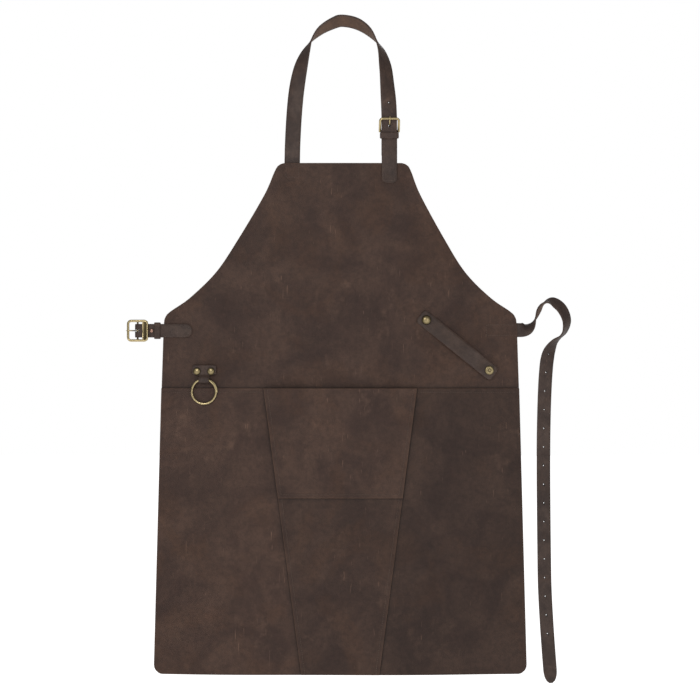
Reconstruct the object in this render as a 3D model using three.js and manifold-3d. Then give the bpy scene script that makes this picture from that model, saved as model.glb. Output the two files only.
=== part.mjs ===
// Leather welding apron: a bib, a three-panel skirt with a centre pocket, a buckled neck strap,
// a waist buckle strap and a punched waist strap, a ring on a riveted tab and a snap towel strap.
// Millimetres. The apron hangs upright, +Z up, its front faces -Y. The origin is the point inside
// the top of the neck loop that the apron hangs from.
import * as THREE from "three";
import Module from "manifold-3d";
import { mergeVertices } from "three/addons/utils/BufferGeometryUtils.js";

const wasm = await Module();
wasm.setup();

// Body. Heights are measured up from the hem, x from the middle.
const hemWidth = 600;
const waistWidth = 575;
const waistHeight = 459;
const bibTopWidth = 216;
const bibHeight = 820;
const bibLean = 4.5;
const hemCorner = 15;
const goreHemWidth = 125;
const goreWaistWidth = 246;
const pocketHeight = 176;
const seamOverlap = 14;
const goreOverlap = 12;
const loopHeight = 1040;
const hangSetback = -12;

// Leather
const hide = 2.0;
const strapHide = 2.4;
const lay = 0.3;
const bodyRadius = 1500;
const waveDepth = 4;
const waveLength = 300;
const mouthGape = 2.2;

// Thread rows
const threadWidth = 0.9;
const threadDepth = 0.4;
const threadRest = 0.25;
const seamMargin = 6;

// Neck strap and buckle
const neckWidth = 25;
const neckLeftX = -76;
const neckRightX = 78.5;
const neckSewn = 26;
const neckHole = 5;
const neckSpareHole = 2.4;
const neckHolePitch = 37.5;
const neckBarHeight = 871;
const neckFrameWidth = 34;
const neckFrameReach = 22;
const neckKeeperDrop = 7;

// Waist straps and buckle
const waistStrapHeight = 552.5;
const waistStrapWidth = 22.6;
const waistTip = 22;
const waistSewn = 52;
const waistHole = 2.4;
const holePitch = 30;
const holeCount = 16;
const firstHole = 80;
const buckleStrapHeight = 551.5;
const buckleStrapWidth = 22;
const buckleStrapEnd = -238;
const waistFold = 286.5;
const waistBarX = -325.7;
const waistFrameWidth = 35.2;
const waistFrameHeight = 35.5;
const waistFrameInner = 18.9;
const keeperLength = 9.8;
const keeperHide = 1.8;
const keeperSlack = 0.5;

// Wire and bars
const frameWire = 2.0;
const barWire = 1.6;
const prongWire = 1.0;
const barGap = 0.35;

// Ring and tab
const ringX = -217.5;
const ringTop = 473.6;
const ringDiameter = 43;
const ringWire = 1.85;
const ringPlay = 0.5;
const tabTop = 496;
const tabWidth = 39;
const tongueWidth = 17;
const tabRivetHeight = 486.3;
const tabRivetSpacing = 22.8;

// Towel strap
const towelX = 137.5;
const towelHeight = 568.6;
const towelSpan = 128.5;
const towelAngle = THREE.MathUtils.degToRad(-38.8);
const towelWidth = 25;
const towelEnd = 11.8;
const towelBow = 4.6;
const towelSeat = 8;
const towelHinge = 14;
const snapRise = 3.7;

// Rivets and snap
const post = 1.6;
const washerRadius = 4.6;
const washerDepth = 1.0;
const studRadius = 2.5;

const leather = { color: 0x49392f, roughness: 0.72, metalness: 0 };
const strapLeather = { color: 0x463b37, roughness: 0.7, metalness: 0 };
const brass = { color: 0x8a744a, roughness: 0.38, metalness: 1 };
const copper = { color: 0x7d5a48, roughness: 0.42, metalness: 1 };
const thread = { color: 0x33261f, roughness: 0.85, metalness: 0 };

const apron = new THREE.Group();

// ---- surfaces ----

// How far the hanging leather falls back from its middle, with soft folds towards the hem.
function fallBack(x, height) {
  const low = Math.max(0, 1 - height / waistHeight);
  const fold = waveDepth * low * low * Math.cos((2 * Math.PI * x) / waveLength + 0.7);
  return (x * x) / (2 * bodyRadius) + fold;
}

// A point at x and height, standing the distance front before the back of the bib.
function onApron(x, height, front) {
  return new THREE.Vector3(x, hangSetback + fallBack(x, height) - front, height - loopHeight);
}

const layer = (count) => count * (hide + lay);
const goreEdge = (height) =>
  goreHemWidth / 2 + ((goreWaistWidth - goreHemWidth) / 2) * (height / waistHeight);

// ---- solids ----

function mergedSolid(geometry) {
  const bare = geometry.clone();
  bare.deleteAttribute("normal");
  bare.deleteAttribute("uv");
  const merged = mergeVertices(bare, 1e-4);
  const index = Array.from(merged.index.array);
  const place = merged.attributes.position;
  const a = new THREE.Vector3();
  const b = new THREE.Vector3();
  const c = new THREE.Vector3();
  const kept = [];
  let volume = 0;
  for (let i = 0; i < index.length; i += 3) {
    const [p, q, r] = index.slice(i, i + 3);
    if (p === q || q === r || p === r) continue;
    kept.push(p, q, r);
    volume += a.fromBufferAttribute(place, p).dot(
      b.fromBufferAttribute(place, q).cross(c.fromBufferAttribute(place, r)));
  }
  if (volume < 0) kept.reverse();
  merged.setIndex(kept);
  return merged;
}

function toManifold(geometry) {
  const merged = mergedSolid(geometry);
  const vertProperties = new Float32Array(merged.attributes.position.array);
  const triVerts = new Uint32Array(merged.index.array);
  return new wasm.Manifold(new wasm.Mesh({ numProp: 3, vertProperties, triVerts }));
}

function fromManifold(body) {
  const mesh = body.getMesh();
  const geometry = new THREE.BufferGeometry();
  geometry.setAttribute("position", new THREE.BufferAttribute(mesh.vertProperties, 3));
  geometry.setIndex(new THREE.BufferAttribute(mesh.triVerts, 1));
  return geometry;
}

const cut = (geometry, cutters) =>
  fromManifold(cutters.reduce((body, cutter) => body.subtract(toManifold(cutter)), toManifold(geometry)));
const join = (...geometries) =>
  fromManifold(geometries.map(toManifold).reduce((body, other) => body.add(other)));

// A box of unit size whose points are carried to their places by a rule of across, out and along.
function shapedBox(across, along, rule) {
  const geometry = new THREE.BoxGeometry(1, 1, 1, across, 1, along);
  const place = geometry.attributes.position;
  for (let i = 0; i < place.count; i += 1) {
    const spot = rule(place.getX(i), place.getY(i), place.getZ(i) + 0.5);
    place.setXYZ(i, spot.x, spot.y, spot.z);
  }
  return mergedSolid(geometry);
}

// A panel between two edges given as rows of height, left and right.
function panel(rows, columns, frontAt) {
  return shapedBox(columns, rows.length - 1, (across, out, along) => {
    const row = rows[Math.round(along * (rows.length - 1))];
    const x = THREE.MathUtils.lerp(row.left, row.right, across + 0.5);
    return onApron(x, row.height, frontAt(x, row.height) + hide * (out + 0.5));
  });
}

// A strap through stations, each with its middle, side direction and half width.
function ribbon(stations, thickness) {
  const steps = stations.length - 1;
  const frames = stations.map((station, i) => {
    const before = stations[Math.max(0, i - 1)].middle;
    const after = stations[Math.min(steps, i + 1)].middle;
    const ahead = after.clone().sub(before).normalize();
    const side = station.side.clone().addScaledVector(ahead, -ahead.dot(station.side)).normalize();
    return { ...station, ahead, side, face: ahead.clone().cross(side) };
  });
  const geometry = shapedBox(1, steps, (across, out, along) => {
    const frame = frames[Math.round(along * steps)];
    return frame.middle.clone()
      .addScaledVector(frame.side, 2 * across * frame.half)
      .addScaledVector(frame.face, out * thickness);
  });
  return { geometry, frames };
}

// The frame of a strap at a distance from its first station.
function frameAtLength(frames, distance) {
  let run = 0;
  for (let i = 1; i < frames.length; i += 1) {
    const step = frames[i].middle.distanceTo(frames[i - 1].middle);
    if (run + step >= distance) {
      const share = (distance - run) / step;
      return { ...frames[i], middle: frames[i - 1].middle.clone().lerp(frames[i].middle, share) };
    }
    run += step;
  }
  return frames[frames.length - 1];
}

// A round punch through a strap at one of its frames.
function punch(frame, diameter, thickness) {
  const geometry = new THREE.CylinderGeometry(diameter / 2, diameter / 2, thickness * 4, 8);
  const turn = new THREE.Matrix4().makeBasis(frame.side, frame.face, frame.side.clone().cross(frame.face));
  return geometry.applyMatrix4(turn.setPosition(frame.middle));
}

// Half the width of a strap near a rounded tip.
function tipHalf(width, fromTip, length) {
  const share = Math.min(1, Math.max(0, fromTip / length));
  return (width / 2) * (0.12 + 0.88 * Math.sqrt(1 - (1 - share) ** 2));
}

// A wire of round section along points, with flat ends.
function wire(points, radius, steps) {
  const round = new THREE.Shape();
  round.absarc(0, 0, radius, 0, 2 * Math.PI);
  const path = new THREE.CatmullRomCurve3(points);
  return new THREE.ExtrudeGeometry(round, { extrudePath: path, steps, curveSegments: 4 });
}

// A closed wire following a rounded rectangle in the XZ plane.
function wireLoop(width, height, corner, radius) {
  const outline = new THREE.Path();
  const x = width / 2 - corner;
  const z = height / 2 - corner;
  outline.absarc(x, z, corner, 0, Math.PI / 2);
  outline.absarc(-x, z, corner, Math.PI / 2, Math.PI);
  outline.absarc(-x, -z, corner, Math.PI, 1.5 * Math.PI);
  outline.absarc(x, -z, corner, 1.5 * Math.PI, 2 * Math.PI);
  outline.closePath();
  const rounds = 40;
  const geometry = new THREE.TorusGeometry(100, radius, 8, rounds);
  const place = geometry.attributes.position;
  for (let i = 0; i < place.count; i += 1) {
    const [tx, ty, tz] = [place.getX(i), place.getY(i), place.getZ(i)];
    const turn = (Math.atan2(ty, tx) / (2 * Math.PI) + 1) % 1;
    const share = Math.round(turn * rounds) / rounds % 1;
    const spot = outline.getPointAt(share);
    const ahead = outline.getTangentAt(share);
    const out = Math.hypot(tx, ty) - 100;
    place.setXYZ(i, spot.x + ahead.y * out, -tz, spot.y - ahead.x * out);
  }
  return mergedSolid(geometry);
}

// A round bar along Z.
const barAlongZ = (x, y, z, radius, length) =>
  new THREE.CylinderGeometry(radius, radius, length, 12).rotateX(Math.PI / 2).translate(x, y, z);
const boxAt = (x, y, z, width, depth, height) =>
  new THREE.BoxGeometry(width, depth, height).translate(x, y, z);

// A turned piece about the Y axis from a profile of radius and distance to the front.
const turned = (profile, segments = 14) =>
  mergedSolid(new THREE.LatheGeometry(profile.map(([r, front]) => new THREE.Vector2(r, -front)), segments));

// ---- placing ----

function add(name, geometry, finish, place) {
  const mesh = new THREE.Mesh(geometry, new THREE.MeshStandardMaterial(finish));
  mesh.name = name;
  if (place) {
    mesh.position.copy(place.position);
    mesh.rotation.z = place.turn;
  }
  apron.add(mesh);
}

// The place and turn of hardware that sits square on the leather at x and height.
function seatAt(x, height) {
  return { position: onApron(x, height, 0), turn: Math.atan(x / bodyRadius) };
}

function seated(geometry, seat) {
  return geometry.clone().rotateZ(seat.turn).translate(seat.position.x, seat.position.y, seat.position.z);
}

// A punch through the apron's leather under a rivet.
function rivetHole(seat) {
  return seated(new THREE.CylinderGeometry(post + lay, post + lay, 60, 12), seat);
}

// ---- body panels ----

const halfArmhole = new THREE.SplineCurve([
  [waistWidth / 2, waistHeight - seamOverlap],
  [waistWidth / 2 - 2, 505],
  [283.5, 560],
  [280.5, 574],
  [272, 583],
  [241, 604.5],
  [200, 645],
  [166, 697],
  [bibTopWidth / 2 + 17.5, 768],
  [bibTopWidth / 2 + 1.5, 806],
  [bibTopWidth / 2 - 5, 816.5],
  [bibTopWidth / 2 - 14, bibHeight],
].map(([x, height]) => new THREE.Vector2(x, height)));

function bibRows() {
  const lean = (height) => bibLean * Math.max(0, (height - 620) / (bibHeight - 620));
  return halfArmhole.getPoints(27).map((spot) => ({
    height: Math.min(spot.y, bibHeight),
    left: lean(spot.y) - spot.x,
    right: lean(spot.y) + spot.x,
  }));
}

// Rows of a skirt side from the hem, round its corner, to the waist.
function sideRows() {
  const edge = (height) => hemWidth / 2 + ((waistWidth - hemWidth) / 2) * (height / waistHeight);
  const rows = [];
  for (let step = 0; step < 5; step += 1) {
    const angle = (step / 5) * (Math.PI / 2);
    const height = hemCorner * (1 - Math.cos(angle));
    rows.push({ height, edge: edge(height) - hemCorner * (1 - Math.sin(angle)) });
  }
  for (let step = 0; step <= 14; step += 1) {
    const height = THREE.MathUtils.lerp(hemCorner, waistHeight, step / 14);
    rows.push({ height, edge: edge(height) });
  }
  return rows;
}

function goreRows(from, to, count) {
  return Array.from({ length: count + 1 }, (_, i) => {
    const height = THREE.MathUtils.lerp(from, to, i / count);
    return { height, left: -goreEdge(height), right: goreEdge(height) };
  });
}

const pocketBottom = waistHeight - pocketHeight;

// The pocket's mouth stands a little open in its middle.
function pocketFront(x, height) {
  const rise = Math.max(0, (height - pocketBottom) / pocketHeight);
  const middle = Math.max(0, 1 - (x / goreEdge(height)) ** 2);
  return layer(3) + mouthGape * rise * rise * middle;
}

const tabRivets = [-1, 1].map((side) => seatAt(ringX + (side * tabRivetSpacing) / 2, tabRivetHeight));
const towelAlong = (distance) => ({
  x: towelX + distance * Math.cos(towelAngle),
  height: towelHeight + distance * Math.sin(towelAngle),
});
const towelRivet = seatAt(towelX, towelHeight);
const towelSnapSpot = towelAlong(towelSpan);
const towelSnap = seatAt(towelSnapSpot.x, towelSnapSpot.height);

add("bib_panel",
  cut(panel(bibRows(), 18, () => 0), [...tabRivets, towelRivet, towelSnap].map(rivetHole)), leather);
add("skirt_left_panel", panel(sideRows().map(({ height, edge }) =>
  ({ height, left: -edge, right: -goreEdge(height) + goreOverlap })), 10, () => layer(1)), leather);
add("skirt_right_panel", panel(sideRows().map(({ height, edge }) =>
  ({ height, left: goreEdge(height) - goreOverlap, right: edge })), 10, () => layer(1)), leather);
add("skirt_centre_panel", panel(goreRows(0, waistHeight, 13), 10, () => layer(2)), leather);
add("centre_pocket", panel(goreRows(pocketBottom, waistHeight, 8), 10, pocketFront), leather);

// ---- thread rows ----

// A thread row through spots of x and height, lying on the leather whose face is at front.
function threadRow(name, spots, front) {
  const stations = spots.map(([x, height], i) => {
    const [bx, bh] = spots[Math.max(0, i - 1)];
    const [ax, ah] = spots[Math.min(spots.length - 1, i + 1)];
    const middle = onApron(x, height, (typeof front === "function" ? front(x, height) : front) +
      threadRest + threadDepth / 2);
    return { middle, side: new THREE.Vector3(bh - ah, 0, ax - bx), half: threadWidth / 2 };
  });
  add(name, ribbon(stations, threadDepth).geometry, thread);
}

const between = (from, to, count) =>
  Array.from({ length: count + 1 }, (_, i) => THREE.MathUtils.lerp(from, to, i / count));

// Spots down one side, along a foot and up the other side of a sewn end.
function stitchedEnd(left, right, top, foot) {
  return [
    ...between(top, foot, 3).map((height) => [left, height]),
    ...between(left, right, 4).slice(1, -1).map((x) => [x, foot]),
    ...between(foot, top, 3).map((height) => [right, height]),
  ];
}

for (const [name, side] of [["left", -1], ["right", 1]]) {
  threadRow(`waist_seam_thread_${name}`, between(goreEdge(waistHeight) + 3, waistWidth / 2 - 5, 12)
    .map((x) => [side * x, waistHeight - seamMargin]).sort((a, b) => a[0] - b[0]), layer(1) + hide);
  threadRow(`gore_thread_${name}`, between(4, pocketBottom - 3, 14)
    .map((height) => [side * (goreEdge(height) - seamMargin), height]), layer(2) + hide);
}
threadRow("pocket_thread", [
  ...between(waistHeight - 3, pocketBottom + seamMargin, 8)
    .map((height) => [seamMargin - goreEdge(height), height]),
  ...between(-1, 1, 12).slice(1, -1)
    .map((share) => [share * (goreEdge(pocketBottom) - seamMargin), pocketBottom + seamMargin]),
  ...between(pocketBottom + seamMargin, waistHeight - 3, 8)
    .map((height) => [goreEdge(height) - seamMargin, height]),
], (x, height) => pocketFront(x, height) + hide);

// ---- neck strap ----

// Stations of the long strap: x, distance behind the bib's back, height and turn in degrees. A turn
// of 0 shows the grain to the front, 90 shows the edge, and more shows the flesh side.
const neckRoute = [
  [neckLeftX - 1.5, 2.2, bibHeight - neckSewn, 0],
  [neckLeftX - 1, 2.2, bibHeight, 0],
  [neckLeftX - 0.3, 3, 850, 0],
  [neckLeftX + 2.4, 5, 900, 0],
  [neckLeftX + 6.4, 8, 940, 8],
  [neckLeftX + 13, 12, 975, 30],
  [neckLeftX + 21, 16, 1000, 62],
  [neckLeftX + 30, 20, 1018, 92],
  [neckLeftX + 46, 24, 1035, 118],
  [neckLeftX + 68, 27, 1047, 134],
  [neckRightX - 78, 28, 1049.5, 137],
  [neckRightX - 54, 27, 1045.5, 134],
  [neckRightX - 35, 24, 1034, 118],
  [neckRightX - 20.5, 19, 1017, 92],
  [neckRightX - 12.5, 14, 1002, 68],
  [neckRightX - 6.2, 8, 975, 38],
  [neckRightX - 3.2, 2, 945, 24],
  [neckRightX - 1, -3.2, 915, 6],
  [neckRightX - 0.2, -6.2, 894, 0],
  [neckRightX, -6.4, 876, 0],
  [neckRightX, -6.4, 858.5, 0],
];

// Turns a hand-laid route into ribbon stations, with the strap's rounded tip at its end.
function routeStations(route, steps, width, tip) {
  const spots = new THREE.CatmullRomCurve3(
    route.map(([x, behind, height]) => onApron(x, height, -behind)), false, "centripetal");
  const turns = new THREE.CatmullRomCurve3(
    route.map(([, , , turn], i) => new THREE.Vector3(THREE.MathUtils.degToRad(turn), i * 0.5, 0)));
  const last = spots.getPoint(1);
  return Array.from({ length: steps + 1 }, (_, i) => {
    const middle = spots.getPoint(i / steps);
    const ahead = spots.getTangent(i / steps);
    const slope = middle.x / bodyRadius;
    const outward = new THREE.Vector3(-ahead.z, -ahead.z * slope, ahead.x).normalize();
    const turn = turns.getPoint(i / steps).x;
    const side = outward.multiplyScalar(Math.cos(turn)).add(new THREE.Vector3(0, Math.sin(turn), 0));
    return { middle, side, half: tipHalf(width, middle.distanceTo(last) + 0.2, tip) };
  });
}

const neckStations = routeStations(neckRoute, 76, neckWidth, 7);
const neckRibbon = ribbon(neckStations, strapHide);
const neckLength = neckRibbon.frames.slice(1).reduce(
  (sum, frame, i) => sum + frame.middle.distanceTo(neckRibbon.frames[i].middle), 0);
const prongHoleAt = neckLength - 20.8;
add("neck_strap", cut(neckRibbon.geometry, [neckHole, neckSpareHole].map((diameter, i) =>
  punch(frameAtLength(neckRibbon.frames, prongHoleAt - i * neckHolePitch), diameter, strapHide))),
strapLeather);

// ---- folds around bars ----

// Half circle of spots round a bar from its front to its back, as [out, ahead] from the bar.
const foldSpots = (radius) => between(0, Math.PI, 10).map((angle) =>
  [radius * Math.cos(angle), radius * Math.sin(angle)]);

const foldRadius = barWire + barGap + strapHide / 2;

// The neck buckle strap is sewn on the bib's front, rises, folds round the bar and comes back behind.
const neckFrontLay = hide + lay + strapHide / 2;
const neckBarFront = neckFrontLay - foldRadius;
const neckHardware = seatAt(neckRightX, bibHeight);
neckHardware.position.z = -loopHeight;
const inNeck = (front, height) => new THREE.Vector3(0, -front, height);
const neckBuckleFoot = bibHeight - neckSewn - 6;
const neckReturnEnd = bibHeight + 12;
const neckBuckleStations = [
  ...between(neckBuckleFoot, neckBarHeight, 12).map((height) =>
    ({ middle: inNeck(neckFrontLay, height), half: tipHalf(neckWidth, height - neckBuckleFoot + 0.4, 7) })),
  ...foldSpots(foldRadius).slice(1).map(([out, ahead]) =>
    ({ middle: inNeck(neckBarFront + out, neckBarHeight + ahead), half: neckWidth / 2 })),
  ...between(neckBarHeight, neckReturnEnd, 4).slice(1).map((height) =>
    ({ middle: inNeck(neckBarFront - foldRadius, height), half: neckWidth / 2 })),
].map((station) => ({ ...station, side: new THREE.Vector3(-1, 0, 0) }));
const prongSlot = 4.6;
const neckFoldSlot = boxAt(0, -neckBarFront, neckBarHeight + 1.9, prongSlot, 30, 13.4);
add("neck_buckle_strap",
  cut(ribbon(neckBuckleStations, strapHide).geometry, [neckFoldSlot]), strapLeather, neckHardware);

// Frame of the neck buckle: a wire rectangle on the bar, tilted so the strap runs behind its top.
const neckTopFront = -neckRoute[neckRoute.length - 3][1] + strapHide / 2 + lay + frameWire + 0.4;
const neckTilt = Math.asin((neckTopFront - neckBarFront) / neckFrameReach);

function neckFrame() {
  const loop = wireLoop(neckFrameWidth - 2 * frameWire, neckFrameReach, 4.5, frameWire)
    .translate(0, 0, neckFrameReach / 2);
  const heel = boxAt(0, 0, 1, neckFrameWidth - 6.6, 20, 10);
  const bar = new THREE.CylinderGeometry(barWire, barWire, neckFrameWidth - 3, 12).rotateZ(Math.PI / 2);
  return join(cut(loop, [heel]), bar).rotateX(neckTilt).translate(0, -neckBarFront, neckBarHeight);
}

add("neck_buckle_frame", neckFrame(), brass, neckHardware);

// A prong: an eye round the bar and a wire, in a plane of out and ahead from the bar.
function prong(spots) {
  const eyeRadius = barWire + barGap + prongWire;
  const eye = new THREE.TorusGeometry(eyeRadius, prongWire, 8, 14).rotateY(Math.PI / 2);
  const points = spots.map(([out, ahead]) => new THREE.Vector3(0, -out, ahead));
  return join(eye, wire(points, prongWire, 14));
}

const neckProngTip = neckTopFront + frameWire + prongWire + 0.3 - neckBarFront;
const neckProng = prong([
  [1.5, 2.4],
  [3.2, 5.4],
  [5.6, 8.6],
  [9.2, 10.6],
  [neckProngTip - 0.6, 15.4],
  [neckProngTip, 20.4],
  [neckProngTip - 0.2, 23.6],
]);
add("neck_prong", neckProng.translate(0, -neckBarFront, neckBarHeight), brass, neckHardware);

// A leather keeper: a flat band round the straps, cut across in the plane of width and depth.
function keeper(width, back, front, length) {
  const outer = new THREE.Shape();
  const x = width / 2 + keeperSlack + keeperHide;
  const low = back - keeperSlack - keeperHide;
  const high = front + keeperSlack + keeperHide;
  const round = 1.6;
  outer.moveTo(-x + round, low).lineTo(x - round, low);
  outer.absarc(x - round, low + round, round, -Math.PI / 2, 0);
  outer.absarc(x - round, high - round, round, 0, Math.PI / 2);
  outer.absarc(-x + round, high - round, round, Math.PI / 2, Math.PI);
  outer.absarc(-x + round, low + round, round, Math.PI, 1.5 * Math.PI);
  const inside = new THREE.Path();
  const room = width / 2 + keeperSlack;
  inside.moveTo(-room, back - keeperSlack).lineTo(room, back - keeperSlack);
  inside.lineTo(room, front + keeperSlack).lineTo(-room, front + keeperSlack).closePath();
  outer.holes.push(inside);
  return new THREE.ExtrudeGeometry(outer, { depth: length, bevelEnabled: false, curveSegments: 4 })
    .rotateZ(Math.PI);
}

const neckTailFront = -neckRoute[neckRoute.length - 1][1] + strapHide / 2;
const neckBackFace = neckBarFront - foldRadius - strapHide / 2;
add("neck_keeper", keeper(neckWidth, neckBackFace, neckTailFront, keeperLength)
  .translate(0, 0, neckBarHeight - neckKeeperDrop - keeperLength + 5), strapLeather, neckHardware);

// ---- rivets ----

// A rivet's domed head and post, its post set over behind a washer. Distances are from the bib's back.
function rivetPiece(radius, rise, underHead) {
  const rim = underHead + lay;
  const behind = -lay - washerDepth - 0.1;
  const dome = between(0, Math.PI / 2, 7).map((angle) =>
    [Math.max(1e-6, radius * Math.sin(angle)), rim + 0.7 + (rise - 0.7) * Math.cos(angle)]);
  return turned([
    [0, rim + rise],
    ...dome.slice(1),
    [radius, rim],
    [post, rim],
    [post, behind],
    [post * 1.7, behind],
    [post * 1.3, behind - 0.8],
    [0, behind - 0.8],
  ]);
}

const washerPiece = (radius) => turned([
  [post + 0.25, -lay],
  [radius, -lay],
  [radius, -lay - washerDepth],
  [post + 0.25, -lay - washerDepth],
  [post + 0.25, -lay],
]);

function addRivet(name, radius, rise, underHead, finish, seat) {
  add(`${name}_rivet`, rivetPiece(radius, rise, underHead), finish, seat);
  add(`${name}_washer`, washerPiece(washerRadius), finish, seat);
}

// ---- ring and its tab ----

const ringSeat = seatAt(ringX, ringTop);
ringSeat.position.z = -loopHeight;
const tabBack = hide + lay + hide / 2;
const ringRadius = ringDiameter / 2 - ringWire;
const ringDip = ringRadius - Math.sqrt(ringRadius ** 2 - (tongueWidth / 2) ** 2);
const ringAxis = ringTop - ringDip / 2;
const loopRadius = ringWire + ringDip / 2 + ringPlay + hide / 2;
const ringFront = tabBack + loopRadius;
const tabFront = tabBack + hide + lay;
const tabSpot = (front, height, half) =>
  ({ middle: new THREE.Vector3(0, -front, height), half, side: new THREE.Vector3(1, 0, 0) });
const shoulderLow = tabTop - 18;
const tabLoop = new THREE.CatmullRomCurve3([
  [tabFront, tabTop - 14.5], [tabFront + 0.9, tabTop - 16.4], [ringFront + loopRadius - 1.2, ringAxis + 2.8],
  [ringFront + loopRadius, ringAxis],
].map(([front, height]) => new THREE.Vector3(0, -front, height)));
const tabStations = [
  tabSpot(tabFront, tabTop, tabWidth / 2),
  tabSpot(tabFront, tabTop - 8, tabWidth / 2),
  tabSpot(tabFront, shoulderLow + 4, tabWidth / 2),
  ...tabLoop.getPoints(6).map((spot, i) =>
    ({ ...tabSpot(0, 0, i < 1 ? tongueWidth / 2 + 3 : tongueWidth / 2), middle: spot })),
  ...foldSpots(loopRadius).slice(1).map(([out, ahead]) =>
    tabSpot(ringFront + out, ringAxis - ahead, tongueWidth / 2)),
  tabSpot(tabBack, shoulderLow + 2, tongueWidth / 2),
  tabSpot(tabBack, shoulderLow + 4, tabWidth / 2),
  tabSpot(tabBack, tabTop - 1.5, tabWidth / 2),
];
const tabPunches = [-1, 1].map((side) => new THREE.CylinderGeometry(post + lay, post + lay, 60, 12)
  .translate((side * tabRivetSpacing) / 2, 0, tabRivetHeight));
add("ring_tab", cut(ribbon(tabStations, hide).geometry, tabPunches), strapLeather, ringSeat);
add("hanging_ring", mergedSolid(new THREE.TorusGeometry(ringRadius, ringWire, 8, 40)
  .rotateX(Math.PI / 2).translate(0, -ringFront, ringTop - ringRadius)), brass, ringSeat);
for (const [name, side] of [["tab_left", -1], ["tab_right", 1]]) {
  const along = (side * tabRivetSpacing) / 2;
  const seat = { position: ringSeat.position.clone(), turn: ringSeat.turn };
  seat.position.add(new THREE.Vector3(along * Math.cos(seat.turn), along * Math.sin(seat.turn), tabRivetHeight));
  addRivet(name, 6, 3.4, tabFront + hide / 2, brass, seat);
}

// ---- towel strap ----

// The strap's back face rises from the rivet, bows off the leather and comes down to the snap.
const towelRise = (distance) => {
  const share = Math.min(1, Math.max(0, (distance - towelSeat) / (towelSpan - 2 * towelSeat)));
  return hide + lay + snapRise * share + towelBow * Math.sin(Math.PI * share) ** 2;
};

function towelPart(from, to, steps, holeAt) {
  const across = new THREE.Vector2(Math.sin(towelAngle), -Math.cos(towelAngle));
  const stations = between(from, to, steps).map((distance) => {
    const { x, height } = towelAlong(distance);
    const slope = x / bodyRadius;
    const nearest = Math.min(distance + towelEnd, towelSpan + towelEnd - distance);
    return {
      middle: onApron(x, height, towelRise(distance) + strapHide / 2),
      side: new THREE.Vector3(-across.x, -across.x * slope, -across.y),
      half: tipHalf(towelWidth, nearest + 0.7, 5),
    };
  });
  return cut(ribbon(stations, strapHide).geometry, [rivetHole(holeAt)]);
}

add("towel_strap_end", towelPart(-towelEnd, towelHinge - lay, 10, towelRivet), strapLeather);
add("towel_strap_flap", towelPart(towelHinge + lay, towelSpan + towelEnd, 30, towelSnap), strapLeather);
addRivet("towel", 7.5, 5, hide + lay + strapHide, brass, towelRivet);

// The snap: a cap and its socket on the strap, and a stud set through the bib.
const socketBack = hide + lay + snapRise;
const snapCap = turned([
  [0, socketBack + strapHide + lay + 2.2],
  [2.2, socketBack + strapHide + lay + 1.9],
  [3.4, socketBack + strapHide + lay + 2.5],
  [5.6, socketBack + strapHide + lay + 2.4],
  [7.2, socketBack + strapHide + lay + 1.2],
  [7.2, socketBack + strapHide + lay],
  [post, socketBack + strapHide + lay],
  [post, socketBack + 0.3],
  [0, socketBack + 0.3],
]);
const socketTop = socketBack - lay;
const snapSocket = turned([
  [0, socketTop],
  [5.4, socketTop],
  [5.6, socketTop - 1.0],
  [5.2, socketTop - 2.6],
  [studRadius + 0.7, socketTop - 2.6],
  [studRadius + 0.7, socketTop - 0.5],
  [0, socketTop - 0.5],
]);
const snapStud = turned([
  [0, hide + lay + 2.6],
  [studRadius * 0.8, hide + lay + 2.5],
  [studRadius, hide + lay + 1.8],
  [studRadius * 0.84, hide + lay + 0.7],
  [5.6, hide + lay + 0.5],
  [5.8, hide + lay],
  [post, hide + lay],
  [post, -lay - 0.1],
  [washerRadius, -lay - 0.1],
  [washerRadius * 0.8, -lay - 1.2],
  [0, -lay - 1.2],
]);
add("towel_snap_cap", snapCap, brass, towelSnap);
add("towel_snap_socket", snapSocket, brass, towelSnap);
add("towel_snap_stud", snapStud, brass, towelSnap);

// ---- waist buckle strap ----

const waistSeat = seatAt(-waistFold, buckleStrapHeight);
const flapFront = hide + lay + strapHide / 2;
const waistBarFront = flapFront - foldRadius;
const barAlong = (waistBarX + waistFold) / Math.cos(waistSeat.turn);
const buckleSewn = between(buckleStrapEnd, -waistFold + lay, 12).map((x) => ({
  middle: onApron(x, buckleStrapHeight, flapFront),
  side: new THREE.Vector3(0, 0, -1),
  half: tipHalf(buckleStrapWidth, buckleStrapEnd - x + 0.5, buckleStrapWidth / 2),
}));
add("waist_buckle_strap_root", ribbon(buckleSewn, strapHide).geometry, strapLeather);
const rivetAlong = -16.1;
const returnEnd = -12.2;
const flapStart = -lay - flapFront * Math.sin(waistSeat.turn);
const inFlap = (along, front) => ({
  middle: new THREE.Vector3(along, -front, 0),
  side: new THREE.Vector3(0, 0, -1),
  half: buckleStrapWidth / 2,
});
const flapStations = [
  ...between(flapStart, barAlong, 8).map((along) => inFlap(along, flapFront)),
  ...foldSpots(foldRadius).slice(1).map(([out, ahead]) => inFlap(barAlong - ahead, waistBarFront + out)),
  ...between(barAlong, returnEnd, 4).slice(1).map((along) => inFlap(along, waistBarFront - foldRadius)),
];
const rivetPunch = new THREE.CylinderGeometry(post + lay, post + lay, 40, 12).translate(rivetAlong, 0, 0);
const waistFoldSlot = boxAt(barAlong - 2.4, -waistBarFront, 0, 12, 30, prongSlot);
add("waist_buckle_strap",
  cut(ribbon(flapStations, strapHide).geometry, [rivetPunch, waistFoldSlot]), strapLeather, waistSeat);

const waistBackFace = waistBarFront - foldRadius - strapHide / 2;
const flapFace = flapFront + strapHide / 2;

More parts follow.
